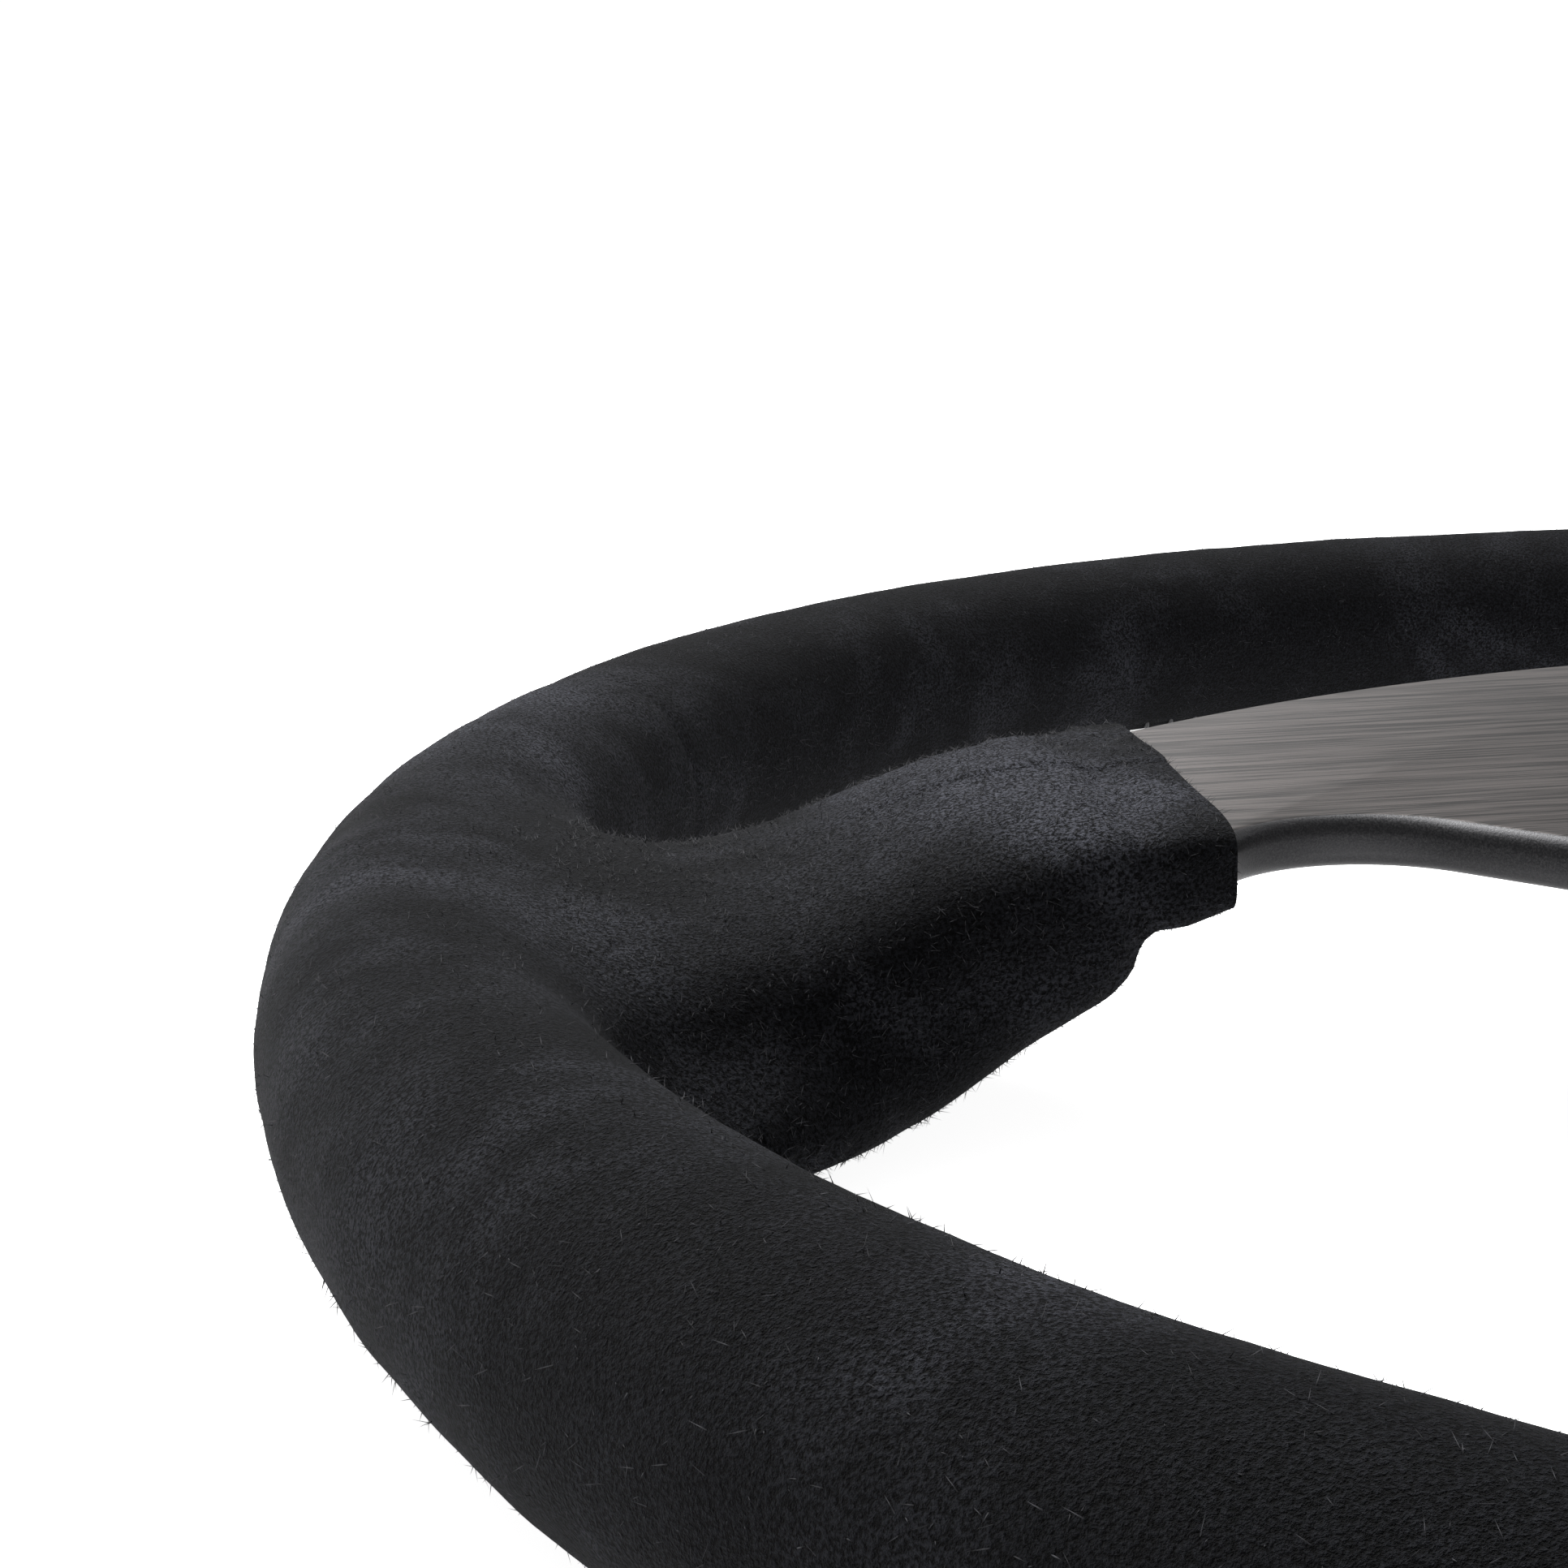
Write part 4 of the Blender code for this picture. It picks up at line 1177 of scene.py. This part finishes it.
def helix(name, mean_radius, wire_radius, bottom, top, turns, steps, material):
    """A coil with level closed ends between two heights of its outside."""
    sides = 14
    low = bottom + wire_radius
    high = top - wire_radius
    squeeze = 0.35 * wire_radius
    sections = []
    for k in range(int(turns * steps) + 1):
        share = k / int(turns * steps)
        rise = min(max((share * turns - 0.7) / (turns - 1.4), 0.0), 1.0)
        height = low + squeeze + (high - low - 2 * squeeze) * rise
        height += squeeze * (2 * share - 1)
        angle = math.tau * turns * share
        section = []
        for n in range(sides):
            around = math.tau * n / sides
            radius = mean_radius + wire_radius * math.cos(around)
            section.append((
                radius * math.cos(angle),
                radius * math.sin(angle),
                height + wire_radius * math.sin(around),
            ))
        sections.append(section)
    return lofted(name, sections, material, 50)


def make_springs(material):
    low, high = COLLAR_SPRING_LOW.z, COLLAR_SPRING_HIGH.z
    spring = helix("collar_return_spring", 26.4, 0.8, low, high, 5.0, 72, material)
    place(spring, "wheel", "steel", "collar_spring")
    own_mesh(spring)
    low, high = HORN_SPRING_LOW.z, HORN_SPRING_HIGH.z
    spring = helix("horn_return_spring", 7.0, 0.6, low, high, 4.0, 60, material)
    place(spring, "wheel", "steel", "horn_spring")
    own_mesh(spring)


def make_stop_ring(material):
    """Open circlip with a lug at each end."""
    low, high = STOP_LOW.z, STOP_HIGH.z
    opening = math.radians(9)
    steps = 200
    sections = []
    for k in range(steps + 1):
        angle = opening + (math.tau - 2 * opening) * k / steps
        from_end = min(k, steps - k) / steps * 360
        lug = 1.2 * min(max((11.0 - from_end) / 3.0, 0.0), 1.0)
        outline = [(22.9, low), (27.6 + lug, low), (27.6 + lug, high), (22.9, high)]
        sections.append([
            (radius * math.cos(angle), radius * math.sin(angle), height)
            for radius, height in soften(outline, 0.2, 2)
        ])
    ring = lofted("circlip", sections, material)
    place(ring, "wheel", "screw_steel", "collar_stop_ring")


# --- Horn button -----------------------------------------------------------------

HORN_RING_TOP = RING_HIGH.z
HORN_RING_BOTTOM = RING_LOW.z
HORN_RING_RADIUS = 40.0
HORN_OPENING = 22.4
CUP_RADIUS = 25.2
CUP_BORE = 23.9
HORN_SHELF_TOP = HORN_RING_TOP - 1.5
BUTTON_FLANGE_BOTTOM = HORN_SHELF_TOP + GAP
BUTTON_FLANGE_TOP = BUTTON_FLANGE_BOTTOM + 2.0


def make_horn_ring(material):
    profile = [
        (HORN_OPENING, HORN_RING_BOTTOM + 0.8),
        (HORN_OPENING + 0.8, HORN_RING_BOTTOM),
        (HORN_RING_RADIUS - 1.2, HORN_RING_BOTTOM),
        (HORN_RING_RADIUS, HORN_RING_BOTTOM + 1.2),
        (HORN_RING_RADIUS, HORN_RING_TOP),
        (CUP_RADIUS + 2.7, HORN_RING_TOP),
        (CUP_RADIUS + 2.7, HORN_SHELF_TOP),
        (HORN_OPENING, HORN_SHELF_TOP),
    ]
    ring = turned("horn_bezel", soften(profile, 0.3, 3), material, 160)
    boolean(ring, "DIFFERENCE", *screw_holes(HORN_RING_BOTTOM - 1, HORN_RING_TOP + 1))
    ring.data.materials.clear()
    ring.data.materials.append(material)
    place(ring, "wheel", "hub_metal", "horn_ring")


def make_screws(material):
    head_top = HORN_RING_BOTTOM - GAP
    head_bottom = head_top - 3.0
    shank_top = SCREW_HIGH.z
    profile = [
        (0.0, shank_top),
        (2.1, shank_top),
        (2.45, shank_top - 0.6),
    ]
    pitch = 0.8
    for k in range(9):
        crest = shank_top - 0.9 - k * pitch
        profile += [(2.45, crest), (2.15, crest - pitch / 2)]
    profile += [
        (2.45, shank_top - 0.9 - 9 * pitch),
        (2.45, head_top),
        (4.3, head_top),
        (4.4, head_top - 0.15),
        (4.4, head_bottom + 0.8),
        (4.15, head_bottom + 0.3),
        (3.6, head_bottom),
        (0.0, head_bottom),
    ]
    for k, (x, y) in enumerate(screw_places()):
        screw = turned("socket_screw", profile, material, 48, closed=False)
        socket = rod("socket", 1.75, head_bottom - 1.0, head_bottom + 2.0, steps=6)
        cone = turned("cone", [
            (0.0, head_bottom - 0.5), (2.3, head_bottom - 0.5), (1.6, head_bottom + 0.35),
            (0.0, head_bottom + 0.35),
        ], None, 48, closed=False)
        boolean(screw, "DIFFERENCE", socket, cone)
        screw.data.materials.clear()
        screw.data.materials.append(material)
        turn_about_z(screw, 23 * k)
        screw.data.transform(Matrix.Translation(Vector((x, y, 0)) * MM))
        place(screw, "wheel", "screw_steel", f"wheel_screw_{k + 1}")


def make_horn_button(material):
    flange = CUP_BORE - GAP
    skirt = HORN_OPENING - GAP
    face = HORN_RING_BOTTOM - 5.5
    dome = [(0.0, face), (5.0, face + 0.07), (9.0, face + 0.25), (12.5, face + 0.5)]
    dome += [(15.0, face + 0.8), (17.2, face + 1.2), (17.5, face + 1.65), (18.1, face + 1.7)]
    dome += [(18.5, face + 1.5), (20.0, face + 2.15), (21.2, face + 3.0), (21.8, face + 3.8)]
    profile = dome + [
        (skirt, face + 4.6),
        (skirt, BUTTON_FLANGE_BOTTOM),
        (flange, BUTTON_FLANGE_BOTTOM),
        (flange, BUTTON_FLANGE_TOP),
        (9.5, BUTTON_FLANGE_TOP),
        (9.5, BUTTON_FLANGE_TOP - 3.5),
        (4.5, BUTTON_FLANGE_TOP - 3.5),
        (4.5, BUTTON_FLANGE_TOP + 2.0),
        (0.0, BUTTON_FLANGE_TOP + 2.0),
    ]
    button = turned("horn_cap", profile, material, 128, closed=False, sharp=40)
    place(button, "button", "black_plastic", "horn_button")


# --- Stage and camera ------------------------------------------------------------

def make_camera():
    """Low, close and from the bottom left."""
    data = bpy.data.cameras.new("camera")
    data.sensor_width = 36.0
    data.lens = 54.0
    camera = bpy.data.objects.new("camera", data)
    bpy.context.scene.collection.objects.link(camera)
    heading = math.radians(84.66)
    pitch = math.radians(-14.054)
    roll = math.radians(-1.834)
    forward = Vector((
        math.cos(heading) * math.cos(pitch), math.sin(heading) * math.cos(pitch), math.sin(pitch),
    ))
    level = forward.to_track_quat("-Z", "Y").to_matrix().to_4x4()
    turn = Matrix.Rotation(roll, 4, "Z")
    camera.matrix_world = Matrix.Translation(Vector((-144.7, -220.3, 87.2)) * MM) @ level @ turn
    bpy.context.scene.camera = camera


def area_light(name, energy, size, location, target):
    data = bpy.data.lights.new(name, "AREA")
    data.energy = energy
    data.size = size
    light = bpy.data.objects.new(name, data)
    light.location = location
    aim = Vector(target) - Vector(location)
    light.rotation_euler = aim.to_track_quat("-Z", "Y").to_euler()
    bpy.context.scene.collection.objects.link(light)


def make_stage():
    """A white floor and surroundings, with one large light above and behind.

    The surroundings look brighter to the camera than the light they give.
    """
    bpy.context.scene.view_settings.view_transform = "Standard"
    bpy.ops.mesh.primitive_plane_add(size=3.0, location=(0, 0.2, -0.0002))
    floor = bpy.context.object
    floor.name = "floor"
    floor.data.materials.append(floor_material())
    world = bpy.data.worlds.new("world")
    world.use_nodes = True
    tree = world.node_tree
    seen = tree.nodes.new("ShaderNodeLightPath").outputs["Is Camera Ray"]
    strength = tree.nodes.new("ShaderNodeMapRange")
    strength.inputs["To Min"].default_value = 0.28
    strength.inputs["To Max"].default_value = 1.05
    tree.links.new(seen, strength.inputs["Value"])
    background = tree.nodes["Background"]
    background.inputs["Color"].default_value = (1.0, 1.0, 1.0, 1.0)
    tree.links.new(strength.outputs["Result"], background.inputs["Strength"])
    bpy.context.scene.world = world
    area_light("top_softbox", 72.0, 1.2, (-0.40, 1.0, 1.2), (0.0, 0.0, 0.0))


def main():
    make_camera()
    make_stage()

    suede = suede_material()
    steel = plain_metal("steel", (0.42, 0.42, 0.43), (0.56, 0.56, 0.57), 0.28)
    hub_metal = turned_metal("hub_metal", (0.030, 0.030, 0.033), (0.055, 0.054, 0.058), 0.40)
    collar_metal = turned_metal("collar_metal", (0.50, 0.51, 0.53), (0.66, 0.67, 0.69), 0.27, 1.0)
    screw_steel = plain_metal("screw_steel", (0.030, 0.030, 0.033), (0.075, 0.073, 0.075), 0.34)
    plastic = moulded("black_plastic", (0.014, 0.014, 0.016), (0.022, 0.022, 0.024), 0.42)
    rubber = moulded("rubber", (0.012, 0.012, 0.012), (0.020, 0.020, 0.020), 0.75, 1800)
    foam = moulded("foam", (0.040, 0.040, 0.040), (0.070, 0.070, 0.070), 0.9, 900, 0.0003)
    brass = plain_metal("brass", (0.60, 0.42, 0.16), (0.80, 0.60, 0.27), 0.28)

    make_fibres(make_cover(suede), fibre_material())
    make_stitches(thread_material())
    make_plate(plate_face_material(), plate_edge_material())
    make_hub(hub_metal)
    make_balls(steel)
    make_collar(collar_metal)
    make_grip_band(rubber)
    make_springs(steel)
    make_stop_ring(screw_steel)
    make_horn_ring(hub_metal)
    make_screws(screw_steel)
    make_horn_button(plastic)
    for node, finish in (
        ("foam_grip", foam), ("rim_core", steel), ("horn_housing", plastic),
        ("horn_contact_disc", brass), ("horn_terminal_1", brass), ("horn_terminal_2", brass),
    ):
        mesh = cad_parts[node].data
        mesh.materials.clear()
        mesh.materials.append(finish)


main()
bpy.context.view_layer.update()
